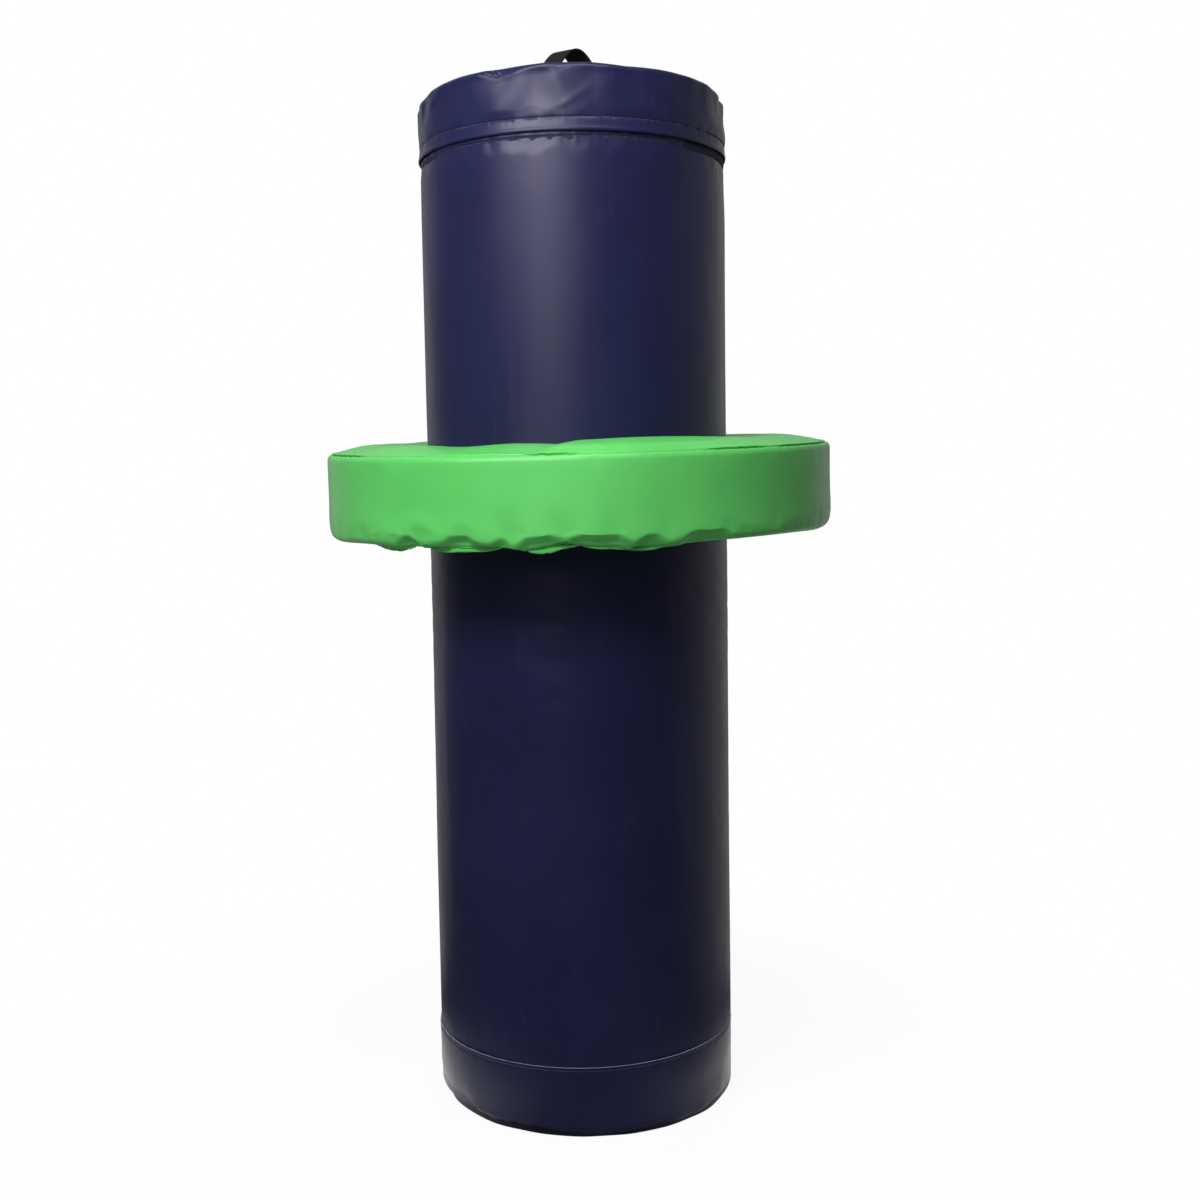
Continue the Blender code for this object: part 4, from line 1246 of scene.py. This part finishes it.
def make_floor():
    """A white floor that keeps the bag's shadow, and mirrors the surround in the bag's gloss."""
    size = 12.0
    mesh = bpy.data.meshes.new("floor")
    corners = [(-size, -size, 0.0), (size, -size, 0.0), (size, size, 0.0), (-size, size, 0.0)]
    mesh.from_pydata(corners, [], [(0, 1, 2, 3)])
    floor = show("floor", mesh)
    floor.location.z = -0.0002
    finish = Finish("floor_paint", None, Specular_IOR_Level=0.1, Roughness=0.9)
    camera_ray, glossy_ray = finish.ray("Camera"), finish.ray("Glossy")
    colour = finish.blend(camera_ray, (0.42, 0.42, 0.42), (0.95, 0.95, 0.95))
    finish.link(colour, finish.shader.inputs["Base Color"])
    reach = finish.node("ShaderNodeVectorMath", finish.place, operation="LENGTH", output="Value")
    white_share = finish.span(reach, 0.3, 1.0, 0.93, 1.0)
    aside = finish.split(finish.place)[0]
    way = finish.node("ShaderNodeVectorMath", finish.place, operation="NORMALIZE")
    left, right = finish.span(0.0 - aside, 0.06, 0.26, 0.0, 1.4), finish.span(aside, 0.06, 0.26)
    mirrored = (0.15 + left + right) * finish.span(reach, 0.25, 0.45, 1.0, 0.0)
    mirrored = 0.05 + mirrored + backdrop(finish, way) * finish.span(reach, 0.35, 0.7, 0.0, 0.9)
    shine = camera_ray + glossy_ray * mirrored
    glow = finish.node("ShaderNodeEmission", Color=(1.0, 1.0, 1.0), Strength=shine)
    shader = Socket(finish, finish.shader.outputs[0])
    mixed = finish.node("ShaderNodeMixShader", camera_ray * white_share + glossy_ray, shader, glow)
    finish.link(mixed, finish.tree.nodes["Material Output"].inputs["Surface"])
    floor.data.materials.append(finish.material)


def make_surround():
    """White to the camera, and a dim room with a pale backdrop to everything else."""
    world = bpy.data.worlds.new("surround")
    bpy.context.scene.world = world
    world.use_nodes = True
    world.node_tree.nodes.clear()
    sky = Graph(world.node_tree)
    camera_ray, clear_ray, shiny_ray = (sky.ray(kind) for kind in ("Camera", "Transmission", "Glossy"))
    way = sky.node("ShaderNodeTexCoord", output="Generated")
    seen = camera_ray + clear_ray * (1.0 - camera_ray)
    strength = seen + (1.0 - seen) * (backdrop(sky, way) + shiny_ray * 0.07)
    light = sky.node("ShaderNodeBackground", Color=(1.0, 1.0, 1.0), Strength=strength)
    sky.link(light, sky.tree.nodes.new("ShaderNodeOutputWorld").inputs["Surface"])


def make_lamps():
    """Soft lamps at a plain level."""
    for name, (spot, target, width, height, power) in LAMPS.items():
        data = bpy.data.lights.new(name, "AREA")
        data.shape = "RECTANGLE"
        data.size = width
        data.size_y = height
        data.energy = power
        data.color = LAMP_COLOUR
        lamp = show(name, data)
        lamp.location = spot
        lamp.visible_glossy = name != "back_fill"
        lamp.rotation_euler = (Vector(target) - Vector(spot)).to_track_quat("-Z", "Y").to_euler()


add_camera()
make_floor()
make_surround()
make_lamps()
bpy.context.scene.view_settings.view_transform = "Standard"

STITCHES = stitches_tree()
STRAND = strand_tree()

navy_colours = ((0.0092, 0.0104, 0.040), (0.0118, 0.0133, 0.050))
# The base panel's vinyl is about three times darker than the band's: partly its own darker vinyl, and
# partly painted shade for where it sits in shadow under the hem
base_colours_with_shade = ((0.0030, 0.0034, 0.012), (0.0045, 0.0050, 0.017))
green_colours = ((0.086, 0.46, 0.096), (0.102, 0.51, 0.112))
webbing_colours = ((0.002, 0.002, 0.002), (0.006, 0.006, 0.007))
tape_colours = ((0.006, 0.006, 0.018), (0.020, 0.020, 0.048))
foam_colours = ((0.62, 0.57, 0.40), (0.80, 0.76, 0.58))
navy = vinyl("navy_vinyl_skin", "navy_vinyl", *navy_colours, gloss=0.36, wrinkle=0.0004)
base = vinyl("base_vinyl_skin", "base_vinyl", *base_colours_with_shade, gloss=0.5, wrinkle=0.0005)
green = vinyl("green_vinyl_skin", "green_vinyl", *green_colours, gloss=0.34, wrinkle=0.0004)
edge = cut_edge()
webbing = woven("webbing", "black_webbing", *webbing_colours, across=0.0026, along=0.0021, depth=0.00022)
tape = woven("tape_weave", "zip_tape", *tape_colours, across=0.0010, along=0.0008, depth=0.00008)
teeth = nylon("coil_nylon", "zip_nylon", (0.012, 0.012, 0.022))
thread = nylon("sewing_thread", "navy_vinyl", (0.075, 0.075, 0.110))
# Near-black dots at the needle holes: painted shade that stands in for the shadow inside each hole
hole_shade = nylon("needle_hole", "navy_vinyl", (0.003, 0.003, 0.006))
metal = plated()
soft_foam = foam("cut_foam", "wrap_foam", *foam_colours, cell=0.0022)
firm_foam = chip_foam()

make_cover(navy)
make_foot(navy, base, edge)
make_lid(navy, edge)
make_ring(green, soft_foam)
make_liner(green)
make_handle(webbing)
make_strap(navy, edge)
make_zip(tape, teeth, metal)
make_column(firm_foam, soft_foam)
for (body, pitch), paths in stitch_paths.items():
    name = body if pitch == STITCH_PITCH else body + "_wide"
    sizes = {"Pitch": pitch, "Length": STITCH_LENGTH, "Thread": THREAD, "Shift": 0.0}
    carry(grown("stitching_" + name, paths, STITCHES, thread, **sizes), body, thread)
    # Dark dots half a pitch along from each stitch: painted shade in the needle holes
    sizes = {"Pitch": pitch, "Length": HOLE, "Thread": HOLE, "Shift": pitch / 2}
    carry(grown("needle_hole_shades_" + name, paths, STITCHES, hole_shade, **sizes), body, hole_shade)
